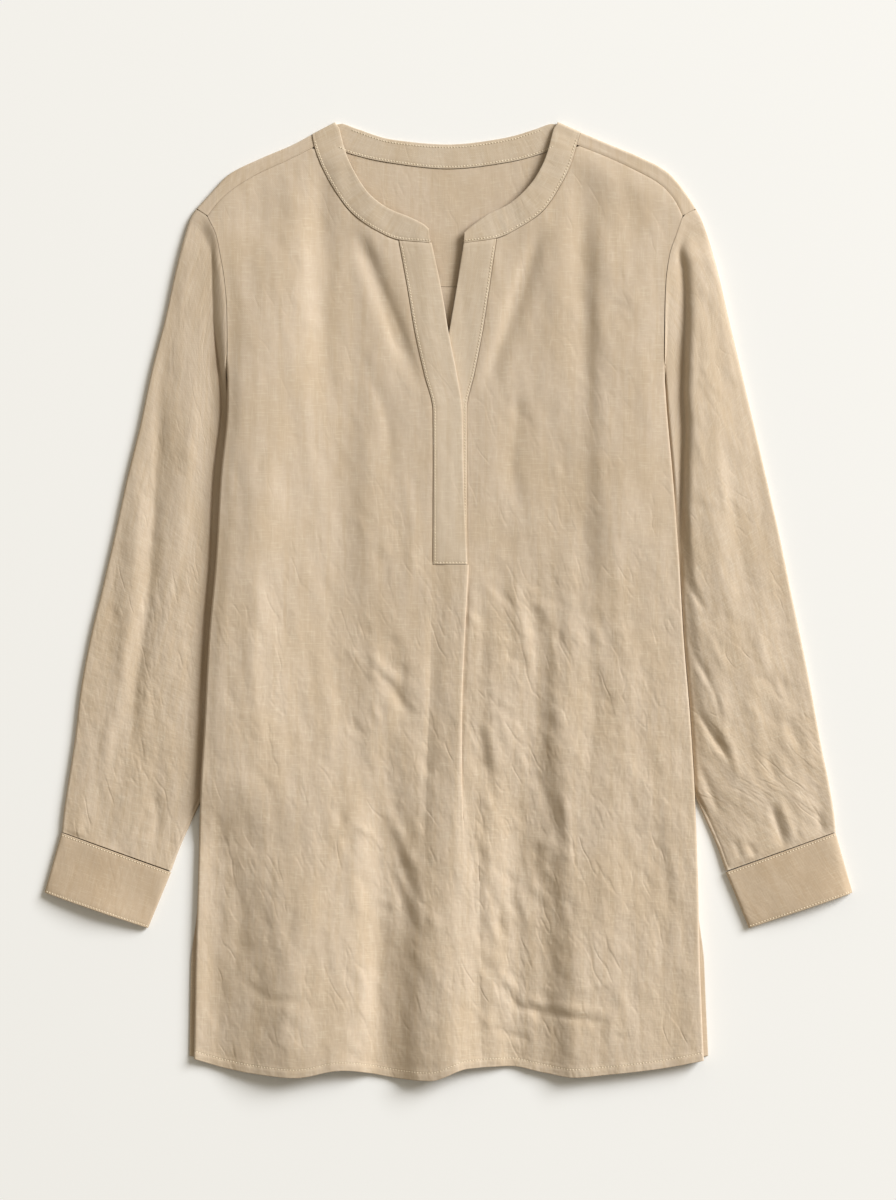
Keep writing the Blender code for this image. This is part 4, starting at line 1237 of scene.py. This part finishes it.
@dataclass
class Neckband:
    """The neckband: two front parts, folded at the shoulders on to the part at the back.

    Attributes:
        lay: How the garment lies.
        wall: How thick it is, with its facing.
        width: How wide it is.
        stitch: How far in from the seam it is stitched.
        proud: How far it stands above the front and the floor.
    """

    lay: Lay
    wall: float = 1.6
    width: float = 19.5
    stitch: float = BAND_STITCH
    proud: float = 0.35

    def rows(self, table: Sequence[Band], place: Grid, share: Grid, shift: Grid) -> tuple[Grid, Grid]:
        """Lay out points across the band.

        Args:
            table: The part of the band.
            place: Places round it.
            share: Shares of its width from the seam to the free edge.
            shift: How far each row is moved inwards from the fold at the shoulder.

        Returns:
            The x and y of the points.
        """
        seam_x, seam_y = (follow(table, place, name)[:, None] for name in ("seam_x", "seam_y"))
        edge_x, edge_y = (follow(table, place, name)[:, None] for name in ("edge_x", "edge_y"))
        width = np.hypot(edge_x - seam_x, edge_y - seam_y)
        ends = hump(place, 0, 0.022) + hump(place, 1, 0.03)
        share = share * (1 - 0.11 * ends[:, None])
        along_x, along_y = (edge_x - seam_x) / width, (edge_y - seam_y) / width
        x = mix(seam_x, edge_x, share) + along_y * shift[:, None]
        y = mix(seam_y, edge_y, share) - along_x * shift[:, None]
        return x, y

    def build(self, finish: bpy.types.Material) -> Blender:
        """Make the neckband."""
        share = insets(self.width, (0.5, 1.2, 1.8, 2.4, 3.4), (0.5, 1.2, 2.2, 3.2), 2.6)[None, :]
        lying = FACED_LYING + self.proud
        lowest = lying + 2 * FOLD_RADIUS
        angle = np.radians(np.linspace(90, -90, 9))
        parts: list[tuple[Grid, Grid, Grid]] = []
        for table, hand in ((BAND_LEFT, Hand.LEFT), (BAND_RIGHT, Hand.RIGHT)):
            place = insets(170.0, (0.5, 1.5), (), 2.6) * 0.985
            x, y = self.rows(table, place, share, np.zeros(len(place)))
            lap = self.lay.lap(x, y) if hand is Hand.LEFT else 0.0
            proud = self.proud * smooth(1.0, 0.9, place)[:, None]
            z = np.maximum(lowest, self.lay.top(x, y) + lap) + proud
            turn = FOLD_RADIUS * (1 - np.cos(angle)) * -hand.out
            ax, ay = self.rows(table, np.ones(len(angle)), share, turn)
            az = (lying + FOLD_RADIUS * (1 + np.sin(angle)))[:, None] + np.zeros(share.shape)
            part = tuple(np.concatenate(pair) for pair in ((x, ax), (y, ay), (z, az)))
            parts.append(part if hand is Hand.LEFT else tuple(piece[::-1] for piece in part))
        place = np.linspace(0.03, 0.97, 80)
        x, y = self.rows(BAND_BACK, place, share, np.zeros(len(place)))
        back = (x, y, np.full(x.shape, lying))
        x, y, z = (np.concatenate([a, b, c]) for a, b, c in zip(parts[0], back, parts[1]))
        width = share * self.width
        z = z - 0.22 * hump(width, self.stitch, STITCH_PULL) - 0.2 * smooth(1.2, 0, width)
        z -= 0.25 * smooth(1.0, 0, self.width - width)
        z += 0.12 * ripple(x / 14, y / 14, 51)
        walked = np.cumsum(np.hypot(*(np.diff(c[:, 5], prepend=c[0, 5]) for c in (x, y))))
        across = np.zeros(x.shape) + walked[:, None]
        along = np.zeros(x.shape) + width
        return Sheet(x, y, z, across, along, np.full(x.shape, 0.45)).build("neck_band", self.wall, finish)


@dataclass
class PlacketStrip:
    """One placket strip, from the neckband to the stitched end.

    Attributes:
        lay: How the garment lies.
        name: The piece's name.
        left: The table's column with its left edge.
        right: The table's column with its right edge.
        lap: How far it stands above the other half.
        band: The part of the neckband above it.
        stitched: The side that is sewn to the front, -1 for left and 1 for right.
        wall: How thick it is, with its facing.
        length: How long it is.
        stitch: How far in from its edges it is stitched.
    """

    lay: Lay
    name: str
    left: str
    right: str
    lap: float
    band: Sequence[Band]
    stitched: int
    wall: float = 1.6
    length: float = 275.0
    stitch: float = STRIP_STITCH

    def build(self, finish: bpy.types.Material) -> Blender:
        """Make the strip."""
        support = (0.5, 1.0, 1.6, 2.2, 3.2)
        share = insets(27.0, support, support, 2.2)[None, :]
        down = insets(self.length, (0.5, 1.4), (0.5, 1.0, 1.6, 2.2, 3.4), 2.6)[:, None]
        level = mix(PLACKET[0].y, PLACKET_END_Y, down)
        left, right = follow(PLACKET, level, self.left), follow(PLACKET, level, self.right)
        x = mix(left, right, share)
        place = 0.15 * (share if self.lap == 0 else 1 - share)
        y = mix(follow(self.band, place, "seam_y") - SEAM, PLACKET_END_Y, down)
        z = self.lay.top(x, y) + self.lap
        sewn = (x - left) if self.stitched < 0 else (right - x)
        z += 0.25 * smooth(0, 0.8, sewn) - 0.22 * hump(sewn, self.stitch, STITCH_PULL)
        z -= 0.2 * smooth(1.0, 0, (right - left) - sewn)
        from_end = (1 - down) * self.length
        z -= 0.2 * hump(from_end, self.stitch, STITCH_PULL) + 0.2 * smooth(0.8, 0, from_end)
        z -= 0.35 * smooth(1.6, 0, down * self.length)
        crumple = np.full(x.shape, 0.4)
        return Sheet(x, y, z, x - left, y, crumple).build(self.name, self.wall, finish)


@dataclass
class Sleeve:
    """A sleeve: a flattened tube from the armhole to the cuff, tucked under the side of the body.

    Attributes:
        lay: How the garment lies.
        hand: Which sleeve.
        wall: How thick its cloth is.
        radius: The roll at its outer fold.
        crevice: How far it keeps from the side of the body before it goes under.
        rounding: How wide the slope up from the outer fold is.
        groove_floor: How high the floor of the left groove is above the underarm.
        strip: How high the right strip between the armhole and the groove is.
        step: How high the right sleeve comes up beside the body below the groove.
        under_edge: How high the right strip is where it goes under the body.
        ridge: How far the right sleeve swells beside its groove.
    """

    lay: Lay
    hand: Hand
    wall: float = 1.1
    radius: float = 1.7
    crevice: float = 0.7
    rounding: float = 75.0
    groove_floor: float = 4.3
    strip: float = 5.6
    step: float = 4.6
    under_edge: float = 3.5
    ridge: float = 2.8

    def hole(self, share: Grid, front: bool) -> tuple[Grid, Grid]:
        """Tell where the armhole's seam is, from the shoulder to the underarm."""
        y = mix(SLEEVE_TOP_Y, UNDERARM_Y, share)
        side = self.hand.value
        if not front:
            return follow(BACK_ARMHOLE, y, side), y
        down = np.clip((SLEEVE_TOP_Y - y) / (SLEEVE_TOP_Y - YOKE_TIP_Y), 0, 1)
        tip = mix(getattr(BACK_ARMHOLE[0], side), getattr(SIDE_EDGE[0], side), down)
        return np.where(y > YOKE_TIP_Y, tip, self.lay.side_x(y, self.hand)), y

    def spot(self, number: Grid, share: Grid, front: bool = True) -> tuple[Grid, Grid]:
        """Tell where a share of the way from the outer to the inner fold of a ring lies."""
        side = self.hand.value
        outer_x, outer_y = follow(RINGS, number, side + "_x"), follow(RINGS, number, "outer_y")
        inner_x, inner_y = follow(RINGS, number, f"inner_{side}_x"), follow(RINGS, number, "inner_y")
        x, y = mix(outer_x, inner_x, share), mix(outer_y, inner_y, share)
        hole_x, hole_y = self.hole(share, front)
        tip_x, tip_y = self.hole(np.array(0.0), front)
        arm_x, arm_y = self.hole(np.array(1.0), front)
        bow = smooth(3, 0, number)
        apart = self.hand.out * 0.4 * SEAM * smooth(0.2, 0, number)
        x = x + (hole_x - mix(tip_x, arm_x, share)) * bow + apart
        return x, y + (hole_y - mix(tip_y, arm_y, share)) * bow

    def clearance(self, x: Grid, y: Grid) -> Grid:
        """Tell how far outside the armhole or the side of the body a place is."""
        return np.abs(x) - np.abs(self.lay.side_x(y, self.hand))

    def entry(self, number: Grid) -> Grid:
        """Tell at which share each ring goes under the side of the body."""
        tried = np.arange(0.5, 0.9701, 0.002)
        x, y = self.spot(number, tried[None, :] + np.zeros((len(number), 1)))
        outside = self.clearance(x, y) >= self.crevice
        found = np.where(outside, tried[None, :], 0.5).max(1)[:, None]
        return np.where(number > 2, found, mix(0.98, found, smooth(0.8, 2, number)))

    def relief(self, x: Grid, y: Grid) -> Grid:
        """Tell the wrinkles of the upper layer."""
        out = self.hand.out
        tilt_x = x - out * (y - 60) * -0.17
        total = 0.9 * ripple(tilt_x / 24, y / 90, 61 + out) + 0.36 * ripple(tilt_x / 11, y / 36, 64 + out)
        total += 0.10 * ripple(x / 7, y / 10, 67 + out)
        return total + CREASE_DEPTH * sum(crease.lift(x, y) for crease in self.lay.sleeve_creases)

    def ring_height(self, number: Grid, x: Grid, y: Grid) -> Grid:
        """Tell the height of the upper layer, low at the crevice beside the body."""
        side = self.hand.value
        left = self.hand is Hand.LEFT
        plateau = follow(SLEEVE_TOP, y, "rise") * (0.8 if left else 1.0)
        outer_x, outer_y = self.spot(number, np.zeros((1, 1)))
        inner_x, inner_y = self.spot(number, np.ones((1, 1)))
        from_outer = np.hypot(x - outer_x, y - outer_y)
        from_inner = np.hypot(x - inner_x, y - inner_y)
        base = LYING + 1.95 * mix(FOLD_RADIUS, self.radius, smooth(0, 2, number))
        height = mix(base, plateau, smooth(0, self.rounding, from_outer) ** 0.7)
        height += self.relief(x, y) * smooth(1, 12, from_outer)
        low = follow(RINGS, number, "inner_top")
        clear = np.maximum(0.0, self.clearance(x, y) - self.crevice)
        out, floor = follow(GROOVES, y, side), follow(GROOVES, y, side + "_floor")
        armhole = self.lay.front(x, y, np.zeros_like(x), self.hand) - 0.2
        apart, past = smooth(1, 6, out), clear - out - floor
        to_seam, edge = 1 - np.clip(clear / np.maximum(out, 1), 0, 1) ** 2, low
        if left:
            low = mix(low, self.groove_floor, smooth(205, 245, y))
            strip = mix(low, armhole, apart * to_seam)
            rise = mix(low, SLEEVE_SHOULDER, smooth(0, 1.8, past))
            rise += (height - SLEEVE_SHOULDER) * smooth(0.8, 36, past)
        else:
            strip = mix(low, self.strip, apart * to_seam)
            free_groove = smooth(10, 90, y)
            step = mix(self.step, low, free_groove)
            edge = mix(low, self.under_edge, free_groove)
            slope = mix(13.0, 5.4, free_groove)
            rise = mix(low, step, smooth(0, 1.5, past)) + (height - step) * smooth(0.5, slope, past)
            rise += self.ridge * free_groove * smooth(1, 9, past) * smooth(62, 9, past)
        strip = mix(strip, edge, smooth(210, 180, y) * smooth(1.3, 0, clear))
        beside = np.where(past > 0, rise, np.where(clear < out, strip, low))
        lying = mix(height, beside, smooth(314, 288, y))
        free = mix(low, height, np.sqrt(smooth(1.2, 28, from_inner)))
        lying = mix(lying, free, smooth(11.2, 12.2, number))
        across = from_outer / (from_outer + from_inner + 1e-6)
        cuff = base + 1.0 * np.sin(np.pi * across) - 0.35
        lying = mix(lying, cuff, smooth(13.72, 14.0, number))
        return mix(armhole, lying, smooth(0.0, 0.55, number))

    def build(self, finish: bpy.types.Material) -> Blender:
        """Make the sleeve."""
        first = (0, 0.012, 0.035, 0.07, 0.12, 0.18, 0.25, 0.33)
        last = (13.9, 13.93, 13.96, 13.985, 14)
        number = np.concatenate([first, np.linspace(0.42, 13.85, 232), last])[:, None]
        radius = mix(FOLD_RADIUS, self.radius, smooth(0, 2, number))
        outer_x, outer_y = self.spot(number, np.zeros((1, 1)))
        inner_x, inner_y = self.spot(number, np.ones((1, 1)))
        length = np.hypot(inner_x - outer_x, inner_y - outer_y)
        in_x, in_y = (inner_x - outer_x) / length, (inner_y - outer_y) / length
        entry = self.entry(number)
        angle = np.radians(np.array([-60, -35, -10, 15, 40, 65]))[None, :]
        turn = radius * (1 - np.cos(angle))
        fold = (outer_x + in_x * turn, outer_y + in_y * turn, LYING + radius * (1 + np.sin(angle)))
        share = mix(radius / length, entry, np.linspace(0, 1, 52)[None, :] ** 0.93)
        upper_x, upper_y = self.spot(number, share)
        upper = (upper_x, upper_y, self.ring_height(number, upper_x, upper_y))
        low = follow(RINGS, number, "inner_top")
        tuck = (low - LYING) / 2
        share = mix(entry, 1 - tuck / length, np.array([[0.2, 0.5, 0.8, 1.0]]))
        tucked_x, tucked_y = self.spot(number, share)
        tucked = (tucked_x, tucked_y, low + np.zeros(tucked_x.shape))
        angle = np.radians(np.array([45, 0, -45]))[None, :]
        roll = tuck * (1 - np.cos(angle))
        inner = (inner_x - in_x * roll, inner_y - in_y * roll, LYING + tuck * (1 + np.sin(angle)))
        share = mix(1 - tuck / length, radius / length, np.linspace(0, 1, 18)[None, :])
        under_x, under_y = self.spot(number, share, front=False)
        under = (under_x, under_y, np.full(under_x.shape, LYING))
        steps = np.hypot(np.diff(outer_x[:, 0]), np.diff(outer_y[:, 0]))
        down = np.concatenate([[0.0], np.cumsum(steps)])[:, None]
        sheet = tube((fold, upper, tucked, inner, under), self.hand, down, (0.35, 0.8))
        return sheet.build("sleeve_tube_" + self.hand.value, self.wall, finish)


@dataclass
class Cuff:
    """A cuff: a faced band, flattened as the sleeve is.

    Attributes:
        hand: Which cuff.
        wall: How thick it is, with its facing.
        radius: The roll at its folded edges.
        swell: How far its upper layer stands above them.
        mouth: How much further it stands at the hand.
        deep: How deep it is.
        stitch: How far in from its ends it is stitched.
    """

    hand: Hand
    wall: float = 1.5
    radius: float = 1.6
    swell: float = 1.2
    mouth: float = 3.6
    deep: float = 53.0
    stitch: float = STRIP_STITCH

    def build(self, finish: bpy.types.Material) -> Blender:
        """Make the cuff."""
        ends = (0.5, 1.0, 1.6, 2.2, 3.2)
        down = insets(self.deep, ends, ends, 2.6)[:, None]
        outer_top, inner_top = np.array(CUFF_OUTER_TOP), np.array(CUFF_INNER_TOP)
        outer_end, inner_end = np.array(CUFF_OUTER_END), np.array(CUFF_INNER_END)
        along = (outer_end - outer_top) / np.hypot(*(outer_end - outer_top)) * 1.4 * SEAM
        outer = mix(outer_top + along, outer_end, down)
        inner = mix(inner_top + along, inner_end, down)
        length = np.hypot(*(inner - outer).T)[:, None]
        inward = (inner - outer) / length
        angle = np.radians(np.array([-60, -30, 0, 30, 60]))
        share = np.linspace(0, 1, 42)
        low, r = FACED_LYING, self.radius

        def stepped(start: Grid, step: Grid) -> tuple[Grid, Grid]:
            """Go some steps inwards from the start of each row."""
            return start[:, :1] + inward[:, :1] * step, start[:, 1:] + inward[:, 1:] * step

        roll = (r * (1 - np.cos(angle)))[None, :]
        roll_z = (low + r * (1 + np.sin(angle)))[None, :] + np.zeros(down.shape)
        fold = (*stepped(outer, roll), roll_z)
        steps = mix(r, length - r, share[None, :])
        top_x, top_y = stepped(outer, steps)
        crest = share if self.hand is Hand.LEFT else share**0.5
        bulge = (self.swell + self.mouth * down * down) * np.sin(np.pi * crest[None, :]) ** 0.8
        depth = down * self.deep
        top_z = low + 2 * r + bulge + 0.6 * ripple(top_x / 26, top_y / 34, 71 + self.hand.out)
        for line in (self.stitch, self.deep - self.stitch):
            top_z = top_z - 0.25 * hump(depth, line, STITCH_PULL)
        top_z -= 0.25 * smooth(0.9, 0, depth)
        inner_roll = (*stepped(inner, -roll), roll_z[:, ::-1])
        under_x, under_y = stepped(outer, mix(length - r, r, np.linspace(0, 1, 16)[None, :]))
        under = (under_x, under_y, np.full(under_x.shape, low))
        strips = (fold, (top_x, top_y, top_z), inner_roll, under)
        strips = [(x * self.hand.out, y, z) for x, y, z in strips]
        sheet = tube(strips, self.hand, depth, (0.4, 0.4))
        return sheet.build("cuff_band_" + self.hand.value, self.wall, finish)


@dataclass(frozen=True)
class StitchLine:
    """A row of lockstitch, made by a geometry tree that repeats one stitch along a line.

    Attributes:
        pitch: From one stitch to the next.
        length: The length of a stitch.
        width: The width of the thread.
        height: The height of the thread, half of it sunk in the cloth.
        seed: Which small unevenness.
    """

    pitch: float = 2.5
    length: float = 1.8
    width: float = 0.9
    height: float = 0.8
    seed: int = 5

    def tree(self) -> bpy.types.NodeTree:
        """Build the geometry tree, with named inputs for the sizes."""
        tree = bpy.data.node_groups.new("stitches", "GeometryNodeTree")
        kinds = {
            "Line": "NodeSocketGeometry",
            "Pitch": "NodeSocketFloat",
            "Stitch Size": "NodeSocketVector",
            "Seed": "NodeSocketInt",
            "Thread": "NodeSocketMaterial",
        }
        for name, kind in kinds.items():
            tree.interface.new_socket(name, in_out="INPUT", socket_type=kind)
        tree.interface.new_socket("Stitches", in_out="OUTPUT", socket_type="NodeSocketGeometry")
        given = add(tree, "NodeGroupInput").outputs
        curve = add(tree, "GeometryNodeMeshToCurve", {0: given["Line"]}).outputs[0]
        spots = add(
            tree, "GeometryNodeCurveToPoints", {"Curve": curve, "Length": given["Pitch"]}, mode="LENGTH"
        )
        along = add(
            tree, "FunctionNodeAlignRotationToVector", {"Vector": spots.outputs["Tangent"]}, axis="X"
        )
        upright = add(
            tree,
            "FunctionNodeAlignRotationToVector",
            {"Rotation": along.outputs[0], "Vector": (0.0, 0.0, 1.0)},
            axis="Z",
            pivot_axis="X",
        )
        uneven = add(
            tree,
            "FunctionNodeRandomValue",
            {0: (0.88, 0.85, 0.85), 1: (1.06, 1.1, 1.1), "Seed": given["Seed"]},
            data_type="FLOAT_VECTOR",
        )
        size = add(
            tree,
            "ShaderNodeVectorMath",
            {0: given["Stitch Size"], 1: uneven.outputs[0]},
            operation="MULTIPLY",
        )
        stitch = add(tree, "GeometryNodeMeshUVSphere", {"Segments": 6, "Rings": 4, "Radius": 0.5})
        rows = add(
            tree,
            "GeometryNodeInstanceOnPoints",
            {
                "Points": spots.outputs["Points"],
                "Instance": stitch.outputs["Mesh"],
                "Rotation": upright.outputs[0],
                "Scale": size.outputs[0],
            },
        )
        real = add(tree, "GeometryNodeRealizeInstances", {0: rows.outputs[0]})
        dyed = add(
            tree, "GeometryNodeSetMaterial", {"Geometry": real.outputs[0], "Material": given["Thread"]}
        )
        add(tree, "NodeGroupOutput", {0: dyed.outputs[0]})
        return tree

    def sew(
        self, name: str, lines: Sequence[Grid], cloth: Blender, tree: bpy.types.NodeTree, thread: object
    ) -> Blender:
        """Sew lines of stitches on to a piece of cloth.

        Args:
            name: The name of the stitching.
            lines: The x and y of each line's points, in millimetres.
            cloth: The piece that they are sewn on, from above.
            tree: The geometry tree of a row of stitches.
            thread: The thread's material.

        Returns:
            The stitching, as one plain mesh.
        """
        graph = bpy.context.evaluated_depsgraph_get()
        ground = BVHTree.FromObject(cloth, graph)
        points: list[Vector] = []
        edges: list[tuple[int, int]] = []
        for line in lines:
            before = None
            for x, y in line:
                hit = ground.ray_cast(Vector((x * MM, y * MM, 0.2)), Vector((0, 0, -1)))[0]
                if hit is None:
                    before = None
                    continue
                points.append(hit + Vector((0, 0, 0.05 * MM)))
                if before is not None:
                    edges.append((before, len(points) - 1))
                before = len(points) - 1
        mesh = bpy.data.meshes.new(name + "_line")
        mesh.from_pydata(points, edges, [])
        guide = placed(name + "_line", mesh)
        modifier = guide.modifiers.new("Stitches", "NODES")
        modifier.node_group = tree
        size = (self.length * MM, self.width * MM, self.height * MM)
        values = {"Pitch": self.pitch * MM, "Stitch Size": size, "Seed": self.seed, "Thread": thread}
        for socket in tree.interface.items_tree:
            if socket.name in values:
                modifier[socket.identifier] = values[socket.name]
        graph = bpy.context.evaluated_depsgraph_get()
        sewn = bpy.data.meshes.new_from_object(guide.evaluated_get(graph))
        sewn.name = name
        sewn.shade_smooth()
        made = placed(name, sewn)
        bpy.data.objects.remove(guide, do_unlink=True)
        return made


@dataclass
class Sewing:
    """Every visible row of stitches, at its distance from the edge that it holds.

    Attributes:
        rows: How the stitches are made.
        hem: How far above the hem's edge the hem is stitched.
        band: How far in from its seam the neckband is stitched.
        free_band: How far in from its free edge its back part is stitched.
        strip: How far in from their edges the placket strips are stitched.
        cuff: How far in from its ends a cuff is stitched.
    """

    rows: StitchLine = StitchLine()
    hem: float = 6.8
    band: float = BAND_STITCH
    free_band: float = 2.4
    strip: float = STRIP_STITCH
    cuff: float = STRIP_STITCH

    def hem_line(self) -> Grid:
        """List the line along the front's hem."""
        x = np.linspace(-214, 214.5, 240)
        return np.stack([x, follow(FRONT_HEM, x, "y") + self.hem], 1)

    def band_line(self, table: Sequence[Band], place: Grid, inset: float, free: bool = False) -> Grid:
        """List a line along the neckband.

        Args:
            table: The part of the band.
            place: Places round it.
            inset: How far the line is from the edge.
            free: Whether it follows the free edge and not the seam.

        Returns:
            The points of the line.
        """
        seam = np.stack([follow(table, place, name) for name in ("seam_x", "seam_y")], 1)
        edge = np.stack([follow(table, place, name) for name in ("edge_x", "edge_y")], 1)
        inward = (edge - seam) / np.hypot(*(edge - seam).T)[:, None]
        return edge - inward * inset if free else seam + inward * inset

    def placket_lines(self, outer: str, end: str, side: int) -> list[Grid]:
        """List the line down a strip's sewn edge and, on the upper strip, along its end."""
        y = np.linspace(300, PLACKET_END_Y + self.strip, 120)
        down = np.stack([follow(PLACKET, y, outer) - side * self.strip, y], 1)
        if side > 0:
            return [down]
        foot = PLACKET_END_Y + self.strip
        right = follow(PLACKET, np.array(foot), end)
        x = np.linspace(down[-1, 0] + 1.5, right - 1.0, 14)
        return [down, np.stack([x, np.full(x.shape, foot)], 1)]

    def cuff_lines(self, hand: Hand) -> list[Grid]:
        """List the lines across the top and the end of a cuff."""
        outer = np.array([CUFF_OUTER_TOP, CUFF_OUTER_END])
        inner = np.array([CUFF_INNER_TOP, CUFF_INNER_END])
        deep = np.hypot(*(outer[1] - outer[0]))
        lines = []
        for share in (self.cuff / deep + 0.011, 1 - self.cuff / deep):
            start, end = mix(outer[0], outer[1], share), mix(inner[0], inner[1], share)
            line = mix(start, end, np.linspace(0.012, 0.988, 60)[:, None])
            lines.append(line * np.array([hand.out, 1.0]))
        return lines

    def build(self, made: dict[str, Blender], thread: bpy.types.Material) -> dict[str, list[Blender]]:
        """Sew every row.

        Args:
            made: The piece of cloth that stands for each node.
            thread: The thread's material.

        Returns:
            The stitching on each node's piece.
        """
        tree = self.rows.tree()
        round_front, round_back = np.linspace(0.0, 0.93, 110), np.linspace(0.1, 0.9, 120)
        lines = {
            "front": [self.hem_line()],
            "neckband": [
                self.band_line(BAND_LEFT, round_front, self.band),
                self.band_line(BAND_RIGHT, round_front, self.band),
                self.band_line(BAND_BACK, round_back, self.band),
                self.band_line(BAND_BACK, round_back, self.free_band, free=True),
            ],
            "placket_upper": self.placket_lines("upper_left", "upper_right", -1),
            "placket_lower": self.placket_lines("lower_right", "lower_left", 1),
        }
        for hand in Hand:
            lines["cuff_" + hand.value] = self.cuff_lines(hand)
        return {
            node: [self.rows.sew("stitches_" + node, paths, made[node], tree, thread)]
            for node, paths in lines.items()
        }


@dataclass
class Studio:
    """The plain floor, the soft light from the upper right and the camera straight above.

    Attributes:
        distance: How far above the garment the camera is, in metres.
        view_height: How much of the floor the frame is high, in metres.
        centre: Where the middle of the frame is, in metres.
        lens_side: The long side of the camera's sensor, in millimetres.
    """

    distance: float = 3.0
    view_height: float = 1.020
    centre: tuple[float, float] = (-0.0004, 0.0004)
    lens_side: float = 36.0

    def floor(self) -> None:
        """Lay the floor."""
        mesh = bpy.data.meshes.new("floor")
        corners = [(-4, -4, 0), (4, -4, 0), (4, 4, 0), (-4, 4, 0)]
        mesh.from_pydata(corners, [], [(0, 1, 2, 3)])
        mesh.materials.append(MattPaper().make())
        placed("floor", mesh)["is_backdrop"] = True

    def lamp(self, name: str, place: Sequence[float], size: float, power: float, hue: str) -> None:
        """Hang a square soft lamp that faces the garment.

        Args:
            name: The lamp's name.
            place: Where it hangs, in metres.
            size: How wide it is, in metres.
            power: Its power in watts.
            hue: Its colour.
        """
        light = bpy.data.lights.new(name, "AREA")
        light.shape = "SQUARE"
        light.size = size
        light.energy = power
        light.color = linear(hue)[:3]
        lamp = placed(name, light)
        lamp.location = place
        lamp.rotation_euler = Vector(place).to_track_quat("Z", "Y").to_euler()

    def build(self) -> None:
        """Set up the whole studio."""
        self.floor()
        self.lamp("key", (15.0, 10.6, 10.2), 10.0, 6280.0, "#f8faff")
        bpy.context.scene.view_settings.view_transform = "Standard"
        bpy.context.scene.view_settings.gamma = 0.85
        world = bpy.data.worlds.new("studio")
        bpy.context.scene.world = world
        world.use_nodes = True
        sky = world.node_tree.nodes["Background"]
        sky.inputs["Color"].default_value = linear("#fff6e6")
        sky.inputs["Strength"].default_value = 0.4
        camera = bpy.data.cameras.new("camera")
        camera.sensor_width = self.lens_side
        camera.lens = self.lens_side * (self.distance - 0.006) / self.view_height
        eye = placed("camera", camera)
        eye.location = (*self.centre, self.distance)
        bpy.context.scene.camera = eye


def measured(piece: Blender) -> float:
    """Tell how much cloth a piece shows, in square metres, on one side."""
    shaped = piece.evaluated_get(bpy.context.evaluated_depsgraph_get()).to_mesh()
    return sum(face.area for face in shaped.polygons) / 2


@dataclass(frozen=True)
class Cut:
    """The cut of one sheet of cloth before it was sewn and laid down.

    Attributes:
        width: Its greatest width, in metres, all round on a tube; not used.
        length: Its greatest length, in metres; not used.
        area: Its area, in square metres; not used.
        rests_on: What it lies on.
    """

    width: float
    length: float
    area: float
    rests_on: tuple[str, ...] = ()


CUTS = {
    "front": Cut(0.470, 0.795, 0.292, ("back_panel", "sleeve_tube_left", "sleeve_tube_right")),
    "back": Cut(0.442, 0.661, 0.268),
    "yoke": Cut(0.430, 0.150, 0.0470),
    "neckband": Cut(0.575, 0.0198, 0.0111, ("yoke_panel",)),
    "placket_upper": Cut(0.0285, 0.276, 0.0077, ("placket_strip_lower",)),
    "placket_lower": Cut(0.0285, 0.276, 0.0078, ("back_panel",)),
    "sleeve_left": Cut(0.290, 0.545, 0.103),
    "sleeve_right": Cut(0.290, 0.545, 0.102),
    "cuff_left": Cut(0.197, 0.053, 0.0102),
    "cuff_right": Cut(0.197, 0.053, 0.0102),
}


def main() -> None:
    """Dress the garment piece by piece and set up the studio."""
    logging.basicConfig(level=logging.INFO, format="%(message)s")
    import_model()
    cad_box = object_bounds()
    lay = Lay()
    linen = Linen("linen_plain_weave", "#d2c2ad", "#c9b69b", "#ddd1bc").make()
    faced = Linen("linen_faced", "#d2c3ae", "#c9b79d", "#ddd1bc", crumple=0.7).make()
    cuffed = Linen("linen_cuffs", "#ccbaa2", "#c3ae92", "#d7c8b0", crumple=0.8).make()
    made = {
        "front": Front(lay).build(linen),
        "back": Back(lay).build(linen),
        "yoke": Yoke(lay).build(linen),
        "neckband": Neckband(lay).build(faced),
        "placket_upper": PlacketStrip(
            lay, "placket_strip_upper", "upper_left", "upper_right", LAP_RISE, BAND_LEFT, -1
        ).build(faced),
        "placket_lower": PlacketStrip(
            lay, "placket_strip_lower", "lower_left", "lower_right", 0.0, BAND_RIGHT, 1
        ).build(faced),
    }
    for hand in Hand:
        made["sleeve_" + hand.value] = Sleeve(lay, hand).build(linen)
        made["cuff_" + hand.value] = Cuff(hand).build(cuffed)
    sewn = Sewing().build(made, SewingThread().make())
    for node, pieces in sewn.items():
        for stitches in pieces:
            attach(stitches, "root")
            LOG.info("%s: %d faces", stitches.name, len(stitches.data.polygons))
    for node, piece in made.items():
        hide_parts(node)
        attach(piece, "root")
        cut = CUTS[node]
        list(cut.rests_on)
        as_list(sewn.get(node, []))
        faces = len(piece.data.polygons)
        LOG.info("%s: %.4f square metres, %d faces on one side", piece.name, measured(piece), faces)
    Studio().build()
    boxes = {"cad": cad_box, "visual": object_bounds()}
    {name: [list(corner) for corner in box] for name, box in boxes.items()}


if __name__ == "__main__":
    main()
